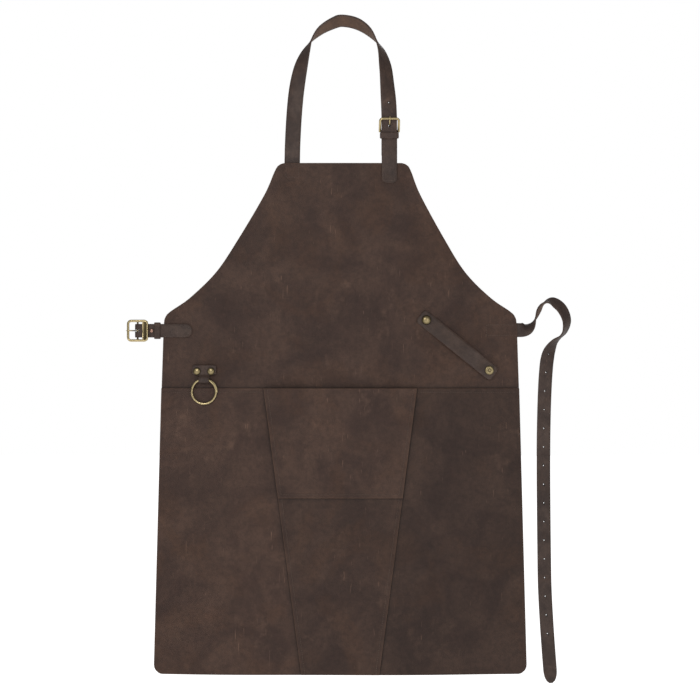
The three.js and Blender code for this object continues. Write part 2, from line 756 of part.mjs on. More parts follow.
// The waist rivet closes the fold: a small head in front and a washer behind the return layer.
const waistRivet = turned([
  [0, flapFace + lay + 1.5],
  [2.0, flapFace + lay + 1.3],
  [3.1, flapFace + lay + 0.5],
  [3.2, flapFace + lay],
  [post, flapFace + lay],
  [post, waistBackFace - lay - washerDepth - 0.1],
  [post * 1.6, waistBackFace - lay - washerDepth - 0.1],
  [post * 1.2, waistBackFace - lay - washerDepth - 0.8],
  [0, waistBackFace - lay - washerDepth - 0.8],
]);
const waistWasher = turned([
  [post + 0.25, waistBackFace - lay],
  [3.8, waistBackFace - lay],
  [3.8, waistBackFace - lay - washerDepth],
  [post + 0.25, waistBackFace - lay - washerDepth],
  [post + 0.25, waistBackFace - lay],
]);
add("waist_rivet", waistRivet.translate(rivetAlong, 0, 0), copper, waistSeat);
add("waist_rivet_washer", waistWasher.translate(rivetAlong, 0, 0), copper, waistSeat);

// The keeper rides on the single layer between the rivet and the apron's edge.
const keeperNear = -1.8;
add("waist_keeper", keeper(buckleStrapWidth, hide + lay, flapFace, keeperLength)
  .rotateY(-Math.PI / 2).translate(keeperNear, 0, 0), strapLeather, waistSeat);

// Frame of the waist buckle: a wire rectangle whose inner end is a broad bar over the strap, and a
// middle bar set back inside the fold.
function waistFrame() {
  const level = flapFace + lay + frameWire;
  const outer = waistFrameWidth - 2 * frameWire;
  const middle = barAlong - waistFrameWidth / 2 + waistFrameInner;
  const loop = wireLoop(outer, waistFrameHeight - 2 * frameWire, 5, frameWire)
    .translate(middle, -level, 0);
  const broad = new THREE.CylinderGeometry(5.2, 5.2, waistFrameHeight - 5, 20, 1).scale(1, 1, 0.3)
    .rotateX(Math.PI / 2).translate(middle + waistFrameWidth / 2 - 6.4, -level, 0);
  const rail = waistFrameHeight / 2 - frameWire;
  const bar = barAlongZ(barAlong, -waistBarFront, 0, barWire, 2 * rail);
  const arms = [-rail, rail].map((z) =>
    boxAt(barAlong, -(level + waistBarFront) / 2, z, 2 * barWire, level - waistBarFront + 2, 2 * barWire - 0.2));
  return join(loop, broad, bar, ...arms);
}

add("waist_buckle_frame", waistFrame(), brass, waistSeat);
const waistLevel = flapFace + lay + 2 * frameWire - waistBarFront;
add("waist_prong", prong([
  [1.2, 2.6],
  [4.6, 5.2],
  [waistLevel + prongWire - 0.6, 9],
  [waistLevel + prongWire + 0.3, 12.2],
  [waistLevel + prongWire + 0.3, 16.6],
]).rotateY(-Math.PI / 2).translate(barAlong, -waistBarFront, 0), brass, waistSeat);

// ---- waist strap ----

// Stations of the long waist strap: x, distance behind the bib's back, height and turn in degrees.
const waistRoute = [
  [waistStrapEdge() - waistSewn, 1.5, waistStrapHeight, 0],
  [waistStrapEdge() - 1, 1.5, waistStrapHeight, 0],
  [293.5, 2.0, 552.9, 4],
  [303, 4, 556.6, 46],
  [312.6, 7, 568.4, 90],
  [320.8, 10, 586, 109],
  [330.4, 12, 596.4, 88],
  [343, 12, 597.6, 48],
  [356.8, 11, 587.5, 36],
  [364.8, 10, 569, 44],
  [362.2, 9, 552.6, 66],
  [354.6, 8, 541.4, 82],
  [344.4, 7, 531.2, 56],
  [336.4, 6, 517.6, 20],
  [333, 5, 505, 4],
  [330.4, 4, 480, 0],
  [328.4, 3, 440, 0],
  [327, 2, 380, 0],
  [326.8, 1, 320, 0],
  [327.2, 0, 260, 0],
  [327.8, -1, 200, 0],
  [328.8, -2, 140, 0],
  [331.6, -3, 85, 0],
  [335, -4, 35, 0],
  [339, -5, -15, 0],
];

// The bib's edge where the waist strap comes out from behind it.
function waistStrapEdge() {
  return halfArmhole.getPoints(60).reduce((best, spot) =>
    (Math.abs(spot.y - waistStrapHeight) < Math.abs(best.y - waistStrapHeight) ? spot : best)).x;
}

const waistStations = routeStations(waistRoute, 110, waistStrapWidth, waistTip);
const waistJoint = waistStrapEdge() + 3.2;
const breakAt = waistStations.findIndex((station) => station.middle.x > waistJoint);
const stationAtJoint = (offset) => {
  const [near, far] = [waistStations[breakAt - 1], waistStations[breakAt]];
  const share = (waistJoint + offset - near.middle.x) / (far.middle.x - near.middle.x);
  return { ...near, middle: near.middle.clone().lerp(far.middle, share) };
};
const waistFree = ribbon([stationAtJoint(lay), ...waistStations.slice(breakAt)], strapHide);
const waistLength = waistFree.frames.slice(1).reduce(
  (sum, frame, i) => sum + frame.middle.distanceTo(waistFree.frames[i].middle), 0);
const holes = Array.from({ length: holeCount }, (_, i) => punch(
  frameAtLength(waistFree.frames, waistLength - firstHole - i * holePitch), waistHole, strapHide));
add("waist_strap", cut(waistFree.geometry, holes), strapLeather);
const waistRoot = ribbon([...waistStations.slice(0, breakAt), stationAtJoint(-lay)], strapHide);
add("waist_strap_root", waistRoot.geometry, strapLeather);

// ---- stitched ends ----

threadRow("neck_strap_thread", stitchedEnd(neckLeftX - 11, neckLeftX + 9, bibHeight - 4,
  bibHeight - neckSewn + 3), hide);
threadRow("neck_buckle_thread", stitchedEnd(neckRightX - 9.5, neckRightX + 9.5, bibHeight - 4,
  neckBuckleFoot + 4), flapFace);
threadRow("waist_strap_thread", [
  ...between(waistStrapEdge() - 3, waistStrapEdge() - waistSewn + 3, 4)
    .map((x) => [x, waistStrapHeight + waistStrapWidth / 2 - 3]),
  [waistStrapEdge() - waistSewn + 3, waistStrapHeight],
  ...between(waistStrapEdge() - waistSewn + 3, waistStrapEdge() - 3, 4)
    .map((x) => [x, waistStrapHeight - waistStrapWidth / 2 + 3]),
], hide);
threadRow("waist_buckle_thread", [
  ...between(-waistFold + 4, buckleStrapEnd - 9, 4).map((x) => [x, buckleStrapHeight + 8]),
  [buckleStrapEnd - 4.5, buckleStrapHeight + 4],
  [buckleStrapEnd - 4.5, buckleStrapHeight - 4],
  ...between(buckleStrapEnd - 9, -waistFold + 4, 4).map((x) => [x, buckleStrapHeight - 8]),
], flapFace);

export default apron;
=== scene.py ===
# Looks of a leather welding apron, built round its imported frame. Lengths in the settings are in
# millimetres, heights are measured up from the hem, and meshes are made in metres.
import math

import bmesh
import bpy
import numpy as np
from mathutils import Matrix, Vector


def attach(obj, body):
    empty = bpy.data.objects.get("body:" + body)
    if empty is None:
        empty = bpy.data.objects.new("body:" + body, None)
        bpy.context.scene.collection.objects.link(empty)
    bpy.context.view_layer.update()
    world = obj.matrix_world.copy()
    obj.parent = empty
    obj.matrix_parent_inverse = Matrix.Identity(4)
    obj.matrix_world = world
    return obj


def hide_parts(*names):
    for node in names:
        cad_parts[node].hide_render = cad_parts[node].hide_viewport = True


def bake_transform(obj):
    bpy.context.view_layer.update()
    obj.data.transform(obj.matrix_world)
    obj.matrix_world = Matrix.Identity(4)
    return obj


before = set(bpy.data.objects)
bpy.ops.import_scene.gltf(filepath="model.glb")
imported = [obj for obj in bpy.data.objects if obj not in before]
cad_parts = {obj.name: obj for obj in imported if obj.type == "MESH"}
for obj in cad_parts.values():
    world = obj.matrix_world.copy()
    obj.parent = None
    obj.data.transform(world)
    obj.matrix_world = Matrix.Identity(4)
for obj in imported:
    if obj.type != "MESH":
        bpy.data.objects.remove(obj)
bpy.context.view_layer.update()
metre = 0.001

# ---- how the leather hangs ----

body = {
    "hem": 600, "waist": 575, "waistHeight": 459, "top": 820, "topWidth": 216, "lean": 4.5,
    "corner": 15, "goreHem": 125, "goreWaist": 246, "pocketHeight": 176, "seamOverlap": 14,
    "goreOverlap": 12, "loop": 1040, "setback": -12, "hide": 2.0, "strapHide": 2.4, "lay": 0.3,
    "radius": 1500, "waveDepth": 4, "waveLength": 300, "mouthGape": 2.2,
    "wander": 0.28, "cell": 3.2, "edgeRound": 0.8, "rim": 2.4,
    # the last three numbers set the painted shadow beside overlapping edges: its depth, its reach and how far
    # under the edge it starts
    "seamShadow": 0.5, "seamShadowReach": 2.6, "seamShadowUnder": 4,
}
hide, strapHide, lay, waistHeight = (body[key] for key in ("hide", "strapHide", "lay", "waistHeight"))
pocketBottom = waistHeight - body["pocketHeight"]


# How far the hung leather falls back: one wide curve, and folds that grow towards the hem.
def fallBack(x, height):
    low = max(0.0, 1 - height / waistHeight)
    fold = body["waveDepth"] * low * low * math.cos(2 * math.pi * x / body["waveLength"] + 0.7)
    return x * x / (2 * body["radius"]) + fold


# A point in front of the apron's back face, from its place across and its height above the hem.
def onApron(x, height, front):
    return np.array((x, body["setback"] + fallBack(x, height) - front, height - body["loop"]))


# Slow, shallow unevenness that every layer of the leather shares.
def unevenness(x, height):
    slow = math.sin(x / 41 + 0.6 * math.sin(height / 57)) * math.sin(height / 36 + 1.3)
    quick = math.sin(x / 19 + height / 27) * math.sin(height / 15 - x / 33 + 0.4)
    return body["wander"] * (slow + 0.5 * quick)


def layer(count):
    return count * (hide + lay)


def goreEdge(height):
    return body["goreHem"] / 2 + (body["goreWaist"] - body["goreHem"]) / 2 * height / waistHeight


# ---- curves ----

# A point on the centripetal curve through points.
def catmull(points, at):
    count = len(points)
    place = (count - 1) * at
    first = min(int(place), count - 2)
    share = place - first
    p1, p2 = points[first], points[first + 1]
    p0 = points[first - 1] if first > 0 else 2 * p1 - p2
    p3 = points[first + 2] if first + 2 < count else 2 * p2 - p1
    gap0, gap1, gap2 = (np.sum((b - a) ** 2) ** 0.25 for a, b in ((p0, p1), (p1, p2), (p2, p3)))
    t1 = ((p1 - p0) / gap0 - (p2 - p0) / (gap0 + gap1) + (p2 - p1) / gap1) * gap1
    t2 = ((p2 - p1) / gap1 - (p3 - p1) / (gap1 + gap2) + (p3 - p2) / gap2) * gap1
    return (p1 + t1 * share + (3 * (p2 - p1) - 2 * t1 - t2) * share ** 2
            + (2 * (p1 - p2) + t1 + t2) * share ** 3)


def through(points, steps):
    spots = [np.array(p, float) for p in points]
    return [catmull(spots, i / steps) for i in range(steps + 1)]


def unit(vector):
    return vector / np.linalg.norm(vector)


def between(start, end, count):
    return [start + (end - start) * i / count for i in range(count + 1)]


# Half the width of a strap near its rounded tip.
def tipHalf(width, fromTip, length):
    share = min(1, max(0, fromTip / length))
    blunt = 0.12
    return width / 2 * (blunt + (1 - blunt) * math.sqrt(1 - (1 - share) ** 2))


# ---- meshes ----

def placeObject(name, data):
    made = bpy.data.objects.new(name, data)
    bpy.context.scene.collection.objects.link(made)
    return made


def setWorn(mesh, values):
    mesh.attributes.new("worn", "FLOAT", "POINT").data.foreach_set("value", np.asarray(values, np.float32))


def smoothFaces(mesh):
    mesh.polygons.foreach_set("use_smooth", [True] * len(mesh.polygons))


# A closed mesh from points in millimetres, its faces turned outwards.
def meshObject(name, points, faces, attributes=None):
    mesh = bpy.data.meshes.new(name)
    mesh.from_pydata((np.asarray(points, float) * metre).tolist(), [], faces)
    for key, values in (attributes or {}).items():
        mesh.attributes.new(key, "FLOAT", "POINT").data.foreach_set("value", np.asarray(values, np.float32))
    turn = bmesh.new()
    turn.from_mesh(mesh)
    bmesh.ops.recalc_face_normals(turn, faces=turn.faces)
    turn.to_mesh(mesh)
    turn.free()
    smoothFaces(mesh)
    return placeObject(name, mesh)


# Swaps a piece's mesh for what its modifier makes of it.
def bakeModifier(piece, change):
    view = bpy.context.evaluated_depsgraph_get()
    view.update()
    result = bpy.data.meshes.new_from_object(piece.evaluated_get(view))
    piece.modifiers.remove(change)
    piece.data = result
    smoothFaces(result)


def cutWith(piece, cutter, operation="DIFFERENCE"):
    change = piece.modifiers.new("cut", "BOOLEAN")
    change.object, change.operation, change.solver = cutter, operation, "EXACT"
    bakeModifier(piece, change)
    bpy.data.objects.remove(cutter)


# A seat is a place and a turn about Z, where hardware sits square on the leather.
def seatAt(x, height):
    return onApron(x, height, 0), math.atan(x / body["radius"])


def seated(points, seat):
    place, turn = seat
    c, s = math.cos(turn), math.sin(turn)
    spin = np.array(((c, -s, 0), (s, c, 0), (0, 0, 1)))
    return np.asarray(points, float) @ spin.T + place


# Positions across a width, with a few close to each edge for the rounding.
def spread(start, end, cell, rounding):
    width = abs(end - start)
    sign = 1 if end > start else -1
    near = [0, 0.12 * rounding, 0.4 * rounding, rounding, 2.2 * rounding]
    count = max(2, round((width - 2 * near[-1]) / cell))
    inner = between(start + sign * near[-1], end - sign * near[-1], count)
    return [start + sign * n for n in near[:-1]] + inner + [end - sign * n for n in reversed(near[:-1])]


# A closed sheet of leather from rows of (height, left, right). reliefAt raises its front.
def leatherPanel(name, rows, columns, backAt, reliefAt=None, shade=1.0):
    rounding, thinned = body["edgeRound"], 0.45
    heights = np.array([r[0] for r in rows])
    low, high = heights.min(), heights.max()
    grids, rims, shades = {1: [], 0: []}, [], []
    for height, left, right in rows:
        shares = np.array(spread(0, columns, body["cell"], rounding)) / columns
        for x in left + (right - left) * shares:
            edge = min(x - left, right - x, height - low, high - height)
            bevel = math.sqrt(max(0, 1 - (1 - min(1, max(0, edge) / rounding)) ** 2))
            half = hide / 2 * (thinned + (1 - thinned) * bevel)
            middle = backAt(x, height) + hide / 2 + unevenness(x, height)
            raised = reliefAt(x, height) if reliefAt else 0
            grids[1].append(onApron(x, height, middle + half + raised * bevel))
            grids[0].append(onApron(x, height, middle - half))
            rims.append(max(0.0, 1 - max(0, edge) / body["rim"]))
            # The panel's tone times the painted seam shadow.
            shades.append(shade * seamShade(name, x, height))
    return closedGrid(name, grids[1], grids[0], len(rows), len(shares), rims, shades)


# Painted shadow: the leather is darkened beside and just under the edge of a piece that lies over it.
def seamShade(name, x, height):
    gap = math.inf
    if name in ("skirtLeft", "skirtRight"):
        gap = abs(x) - goreEdge(height)
    elif name == "skirtCentre" and height < pocketBottom:
        gap = pocketBottom - height
    elif name == "bibPanel":
        gap = height - waistHeight
    if gap < -body["seamShadowUnder"]:
        return 1.0
    return 1 - body["seamShadow"] * math.exp(-max(0.0, gap) / body["seamShadowReach"])


# Joins a front and a back grid of points round their rim.
def closedGrid(name, front, back, rows, across, rims, shades):
    faces = []
    offset = rows * across
    for i in range(rows - 1):
        for j in range(across - 1):
            a, b = i * across + j, (i + 1) * across + j
            faces.append((a, a + 1, b + 1, b))
            faces.append((offset + a, offset + b, offset + b + 1, offset + a + 1))
    ring = ([(0, j) for j in range(across - 1)] + [(i, across - 1) for i in range(rows - 1)]
            + [(rows - 1, j) for j in range(across - 1, 0, -1)] + [(i, 0) for i in range(rows - 1, 0, -1)])
    spots = [i * across + j for i, j in ring]
    for a, b in zip(spots, spots[1:] + spots[:1]):
        faces.append((a, offset + a, offset + b, b))
    flesh = [0.0] * offset + [1.0] * offset
    # The back face keeps the panel's tone without the painted seam shadow.
    return meshObject(name, front + back, faces,
                      {"rim": rims + rims, "flesh": flesh, "shade": shades + [max(shades)] * offset})


# Frames along stations of (middle, side, half width): side and face stand square to the run.
def strapFrames(stations, closed=False):
    frames = []
    count = len(stations)
    for i, (middle, side, half) in enumerate(stations):
        before = stations[(i - 1) % count if closed else max(0, i - 1)][0]
        after = stations[(i + 1) % count if closed else min(count - 1, i + 1)][0]
        ahead = unit(np.asarray(after) - before)
        across = unit(side - ahead * np.dot(ahead, side))
        frames.append((np.asarray(middle, float), across, np.cross(ahead, across), half))
    return frames


# A leather section with rounded edges: rows of share across, edge inset, face share, rim, flesh.
def leatherSection(rounding):
    points, columns, steps = [], 8, 4
    for sign, flesh in ((1, 0.0), (-1, 1.0)):
        for share in between(-sign, sign, columns)[1:-1]:
            points.append((share, 0, sign, 0.0, flesh))
        for k in range(steps):
            angle = math.pi * (k + 0.5) / steps
            points.append((sign, rounding * (1 - math.sin(angle)), sign * math.cos(angle),
                           math.sin(angle) ** 0.5, 0.5))
    return points


# Faces along count rings of around points each, ringed round or capped.
def tubeFaces(count, around, closed):
    faces = []
    for i in range(count if closed else count - 1):
        a, b = i * around, (i + 1) % count * around
        for j in range(around):
            k = (j + 1) % around
            faces.append((a + j, a + k, b + k, b + j))
    if not closed:
        faces.append(tuple(reversed(range(around))))
        faces.append(tuple(range((count - 1) * around, count * around)))
    return faces


# A leather strap along frames, crowned a little, with rounded and pinched ends.
def strap(name, frames, thickness, closed=False, rounding=0.9):
    crowning, pinch, endRim = 0.10, 0.62, 0.9
    section = leatherSection(rounding)
    points, rims, fleshes = [], [], []
    count, around = len(frames), len(section)
    for i, (middle, side, face, half) in enumerate(frames):
        atEnd = not closed and i in (0, count - 1)
        for share, inset, depth, rim, flesh in section:
            reach = max(0.2, half - rounding) if abs(share) < 1 else half - inset
            out = depth * (thickness / 2 * (pinch if atEnd else 1) + crowning * (1 - share * share))
            points.append(middle + side * share * reach + face * out)
            rims.append(max(rim, endRim * atEnd))
            fleshes.append(flesh)
    return meshObject(name, points, tubeFaces(count, around, closed),
                      {"rim": rims, "flesh": fleshes, "shade": [1.0] * len(rims)})


# A round or flattened bar along points, open or closed.
def bar(points, radius, sides=14, closed=False, flat=1.0, normal=(0, 1, 0), ends=None):
    spots = [np.asarray(p, float) for p in points]
    count, made = len(spots), []
    for i, spot in enumerate(spots):
        before = spots[(i - 1) % count if closed else max(0, i - 1)]
        after = spots[(i + 1) % count if closed else min(count - 1, i + 1)]
        ahead = unit(after - before)
        out = np.asarray(normal, float)
        out = unit(out - ahead * np.dot(ahead, out))
        side = np.cross(ahead, out)
        size = radius * (ends(i / (count - 1)) if ends else 1)
        for k in range(sides):
            angle = 2 * math.pi * k / sides
            made.append(spot + side * size * math.cos(angle) + out * size * flat * math.sin(angle))
    return made, tubeFaces(count, sides, closed)


# Puts several closed shapes into one mesh.
def together(*shapes):
    points, faces = [], []
    for more, moreFaces in shapes:
        faces += [tuple(len(points) + k for k in face) for face in moreFaces]
        points += [np.asarray(p, float) for p in more]
    return points, faces


# A turned piece about Y from a profile of (radius, distance to the front, wear).
def turned(name, profile, seat, shift=(0, 0, 0), polish=0.62):
    segments, onAxis = 56, 1e-6
    looped = profile[0] == profile[-1]
    rings = profile[:-1] if looped else profile
    points, wear, starts = [], [], []
    for radius, front, worn in rings:
        starts.append(len(points))
        count = 1 if radius < onAxis else segments
        for k in range(count):
            angle = 2 * math.pi * k / segments
            points.append((radius * math.cos(angle), -front, radius * math.sin(angle)))
            wear.append(worn * polish)
    faces = []
    for a in range(len(rings) if looped else len(rings) - 1):
        b = (a + 1) % len(rings)
        one, two = starts[a], starts[b]
        tipA, tipB = rings[a][0] < onAxis, rings[b][0] < onAxis
        for k in range(segments):
            n = (k + 1) % segments
            if tipA:
                faces.append((one, two + k, two + n))
            elif tipB:
                faces.append((one + k, one + n, two))
            else:
                faces.append((one + k, one + n, two + n, two + k))
    return meshObject(name, seated(np.array(points) + shift, seat), faces, {"worn": wear})


# ---- shared shader groups ----

def addNode(tree, kind, links=None, **settings):
    made = tree.nodes.new(kind)
    for key, value in settings.items():
        setattr(made, key, value)
    for key, value in (links or {}).items():
        socket = made.inputs[key]
        if isinstance(value, bpy.types.NodeSocket):
            tree.links.new(value, socket)
        else:
            socket.default_value = value
    return made


def maths(tree, operation, *values, clamp=False):
    return addNode(tree, "ShaderNodeMath", dict(enumerate(values)), operation=operation,
                   use_clamp=clamp).outputs[0]


def blendColour(tree, share, a, b, way="MIX"):
    made = addNode(tree, "ShaderNodeMix", {0: share, 6: a, 7: b}, data_type="RGBA", blend_type=way)
    return made.outputs[2]


def step(tree, value, low, high, start=0.0, end=1.0):
    made = addNode(tree, "ShaderNodeMapRange", {"Value": value, "From Min": low, "From Max": high,
                                                "To Min": start, "To Max": end})
    made.interpolation_type = "SMOOTHSTEP"
    return made.outputs["Result"]


# A shader group with a vector and plain number inputs, and number outputs.
def newGroup(name, inputs, outputs):
    tree = bpy.data.node_groups.new(name, "ShaderNodeTree")
    tree.interface.new_socket("Vector", in_out="INPUT", socket_type="NodeSocketVector")
    for label, value in inputs.items():
        tree.interface.new_socket(label, in_out="INPUT", socket_type="NodeSocketFloat").default_value = value
    for label in outputs:
        tree.interface.new_socket(label, in_out="OUTPUT", socket_type="NodeSocketFloat")
    return tree, tree.nodes.new("NodeGroupInput").outputs, tree.nodes.new("NodeGroupOutput").inputs


def noise(tree, vector, scale, detail=4.0, roughness=0.55, distortion=0.0):
    return addNode(tree, "ShaderNodeTexNoise", {"Vector": vector, "Scale": scale, "Detail": detail,
                   "Roughness": roughness, "Distortion": distortion}).outputs[0]


def turnedVector(tree, vector, turn, size):
    return addNode(tree, "ShaderNodeMapping", {"Vector": vector, "Rotation": turn, "Scale": size}).outputs[0]


# Pebbled grain with fine pores and soft creases, as a height from 0 to 1.
def makeGrainGroup():
    tree, given, out = newGroup("leatherGrain", {"Pebble Scale": 750.0, "Crease Scale": 60.0},
                                ("Height", "Creases"))
    place = given["Vector"]
    wander = addNode(tree, "ShaderNodeTexNoise", {"Vector": place, "Scale": 180.0, "Detail": 2.0}).outputs[1]
    wander = addNode(tree, "ShaderNodeVectorMath", {0: wander, 1: (0.0016, 0.0016, 0.0016)},
                     operation="MULTIPLY").outputs[0]
    bent = addNode(tree, "ShaderNodeVectorMath", {0: place, 1: wander}, operation="ADD").outputs[0]
    pebble = addNode(tree, "ShaderNodeTexVoronoi", {"Vector": bent, "Scale": given["Pebble Scale"],
                     "Smoothness": 0.6}, feature="SMOOTH_F1").outputs["Distance"]
    edge = addNode(tree, "ShaderNodeTexVoronoi", {"Vector": bent, "Scale": given["Crease Scale"]},
                   feature="DISTANCE_TO_EDGE").outputs["Distance"]
    where = step(tree, noise(tree, place, 16.0, 3.0), 0.5, 0.68)
    creases = maths(tree, "MULTIPLY", step(tree, edge, 0.0, 0.035, 1.0, 0.0), where)
    height = maths(tree, "SUBTRACT", 1.0, pebble)
    height = maths(tree, "MULTIPLY_ADD", noise(tree, place, 420.0, 5.0, 0.6), 0.5, height)
    height = maths(tree, "MULTIPLY_ADD", creases, -0.45, height)
    tree.links.new(height, out["Height"])
    tree.links.new(creases, out["Creases"])
    return tree


# Cloudy tone, a warm cast, pale scuffs and fine mottling, each from 0 to 1.
def makeToneGroup():
    tree, given, out = newGroup("leatherTone", {"Cloud Scale": 14.0, "Scuff Scale": 40.0},
                                ("Cloud", "Warmth", "Scuffs", "Mottle"))
    place = given["Vector"]
    shifted = turnedVector(tree, place, (0.4, 0.9, 0.2), (1.0, 1.0, 1.0))
    streaks = None
    for turn, size in (((0, 0.6, 0), (1.0, 1.0, 0.10)), ((0, -0.95, 0.3), (1.0, 1.0, 0.07)),
                       ((0.2, 1.45, 0), (1.0, 1.0, 0.12))):
        fine = maths(tree, "MULTIPLY", given["Scuff Scale"], 9.0)
        line = step(tree, noise(tree, turnedVector(tree, place, turn, size), fine, 2.0, 0.5), 0.705, 0.77)
        streaks = line if streaks is None else maths(tree, "MAXIMUM", streaks, line)
    patch = step(tree, noise(tree, place, given["Scuff Scale"], 4.0, 0.62), 0.56, 0.74)
    rubbed = step(tree, noise(tree, shifted, 11.0, 2.0), 0.42, 0.62)
    broad = maths(tree, "MULTIPLY", given["Cloud Scale"], 0.7)
    for label, value in {
            "Cloud": noise(tree, place, given["Cloud Scale"], 5.0, 0.62, 0.6),
            "Warmth": noise(tree, shifted, broad, 4.0, 0.6, 0.8),
            "Scuffs": maths(tree, "MULTIPLY", maths(tree, "MULTIPLY_ADD", patch, 0.42, streaks), rubbed,
                            clamp=True),
            "Mottle": noise(tree, place, 130.0, 5.0, 0.7)}.items():
        tree.links.new(value, out[label])
    return tree


grainGroup, toneGroup = makeGrainGroup(), makeToneGroup()


def startMaterial(name):
    made = bpy.data.materials.new(name)
    made.use_nodes = True
    tree = made.node_tree
    shader = next(n for n in tree.nodes if n.type == "BSDF_PRINCIPLED")
    return made, tree, shader.inputs, addNode(tree, "ShaderNodeTexCoord").outputs["Object"]


def finishMaterial(tree, shader, colour, rough, height, strength, depth):
    bump = addNode(tree, "ShaderNodeBump", {"Strength": strength, "Distance": depth, "Height": height})
    for value, label in ((colour, "Base Color"), (rough, "Roughness"), (bump.outputs[0], "Normal")):
        tree.links.new(value, shader[label])


def attribute(tree, name, output="Fac"):
    return addNode(tree, "ShaderNodeAttribute", attribute_name=name).outputs[output]


# Leather: dark and light tones, a warm cast, scuffs, painted shade in the grain's creases, a raw cut edge and the
# flesh side.
def leatherMaterial(name, tones):
    made, tree, shader, place = startMaterial(name)
    tone = addNode(tree, "ShaderNodeGroup", node_tree=toneGroup)
    grain = addNode(tree, "ShaderNodeGroup", node_tree=grainGroup)
    for group, label, key in ((tone, "Cloud Scale", "cloud"), (tone, "Scuff Scale", "scuff"),
                              (grain, "Pebble Scale", "pebble"), (grain, "Crease Scale", "crease")):
        group.inputs[label].default_value = tones[key]
        tree.links.new(place, group.inputs["Vector"])
    tone, grain = tone.outputs, grain.outputs
    inside = step(tree, attribute(tree, "flesh"), 0.6, 0.95)
    frayed = maths(tree, "MULTIPLY", step(tree, attribute(tree, "rim"), 0.35, 0.95),
                   step(tree, noise(tree, place, 160.0, 4.0, 0.7), 0.25, 0.6, 0.55, 1.0))
    fibres = noise(tree, turnedVector(tree, place, (0.0, 0.5, 0.0), (1.0, 1.0, 0.3)), 240.0, 5.0, 0.75, 0.5)
    nap = maths(tree, "MULTIPLY_ADD", noise(tree, place, 22.0, 4.0, 0.6), 0.6,
                maths(tree, "MULTIPLY", fibres, 0.5))
    fleshColour = blendColour(tree, step(tree, nap, 0.38, 0.74), tones["flesh"], tones["fleshWarm"])
    colour = tones["dark"]
    for share, over in (
            (step(tree, tone["Cloud"], 0.34, 0.66), tones["light"]),
            (step(tree, tone["Warmth"], 0.48, 0.66, 0.0, tones["warming"]), tones["warm"]),
            (step(tree, tone["Mottle"], 0.35, 0.7, 0.0, tones["mottling"]), tones["deep"]),
            (maths(tree, "MULTIPLY", tone["Scuffs"], tones["scuffing"]), tones["pale"]),
            # The grain's creases darkened with the deep tone: painted shade.
            (maths(tree, "MULTIPLY", grain["Creases"], tones["creaseShade"]), tones["deep"]),
            (inside, fleshColour),
            (maths(tree, "MULTIPLY", frayed, tones["edging"]), tones["edge"])):
        colour = blendColour(tree, share, colour, over)
    # Multiplied by the shade attribute: each panel's tone and the painted seam shadow.
    colour = blendColour(tree, 1.0, colour, attribute(tree, "shade", "Color"), "MULTIPLY")
    rough = maths(tree, "MULTIPLY_ADD", tone["Cloud"], -0.22, tones["rough"])
    rough = maths(tree, "MULTIPLY_ADD", tone["Scuffs"], 0.12, rough)
    rough = maths(tree, "MULTIPLY_ADD", inside, 0.2, rough, clamp=True)
    height = blendColour(tree, inside, grain["Height"], noise(tree, place, 900.0, 4.0, 0.7))
    shader["Specular IOR Level"].default_value = tones["gloss"]
    finishMaterial(tree, shader, colour, rough, height, tones["bump"], 0.0004)
    return made


# Aged metal: bright where rubbed, dark in the recesses, with fine scratches.
def metalMaterial(name, tones):
    made, tree, shader, place = startMaterial(name)
    patina = step(tree, noise(tree, place, 170.0, 4.0, 0.6), 0.36, 0.7, 0.0, tones["patina"])
    recess = maths(tree, "SUBTRACT", tones["recess"], attribute(tree, "worn"))
    dulled = maths(tree, "MAXIMUM", patina, recess, clamp=True)
    scratches = noise(tree, turnedVector(tree, place, (0.3, 0.7, 0.1), (1.0, 1.0, 0.12)), 2600.0, 3.0)
    colour = blendColour(tree, dulled, tones["bright"], tones["dark"])
    colour = blendColour(tree, step(tree, scratches, 0.6, 0.8, 0.0, 0.25), colour, tones["pale"])
    height = maths(tree, "MULTIPLY_ADD", noise(tree, place, 700.0, 4.0), 0.6, scratches)
    shader["Metallic"].default_value = 1.0
    rough = maths(tree, "MULTIPLY_ADD", dulled, 0.28, tones["rough"])
    finishMaterial(tree, shader, colour, rough, height, 0.25, 0.0001)
    return made


def threadMaterial(name, colour, dark):
    made, tree, shader, place = startMaterial(name)
    strand = addNode(tree, "ShaderNodeTexWave", {"Vector": place, "Scale": 900.0, "Distortion": 1.5},
                     bands_direction="DIAGONAL").outputs["Fac"]
    mixed = blendColour(tree, maths(tree, "MULTIPLY", strand, 0.6), colour, dark)
    rough = maths(tree, "MULTIPLY_ADD", strand, 0.15, 0.68)
    finishMaterial(tree, shader, mixed, rough, strand, 0.5, 0.0002)
    return made


# A colour given as screen tones from 0 to 255.
def linear(red, green, blue):
    return tuple(((c / 255 + 0.055) / 1.055) ** 2.4 for c in (red, green, blue)) + (1.0,)


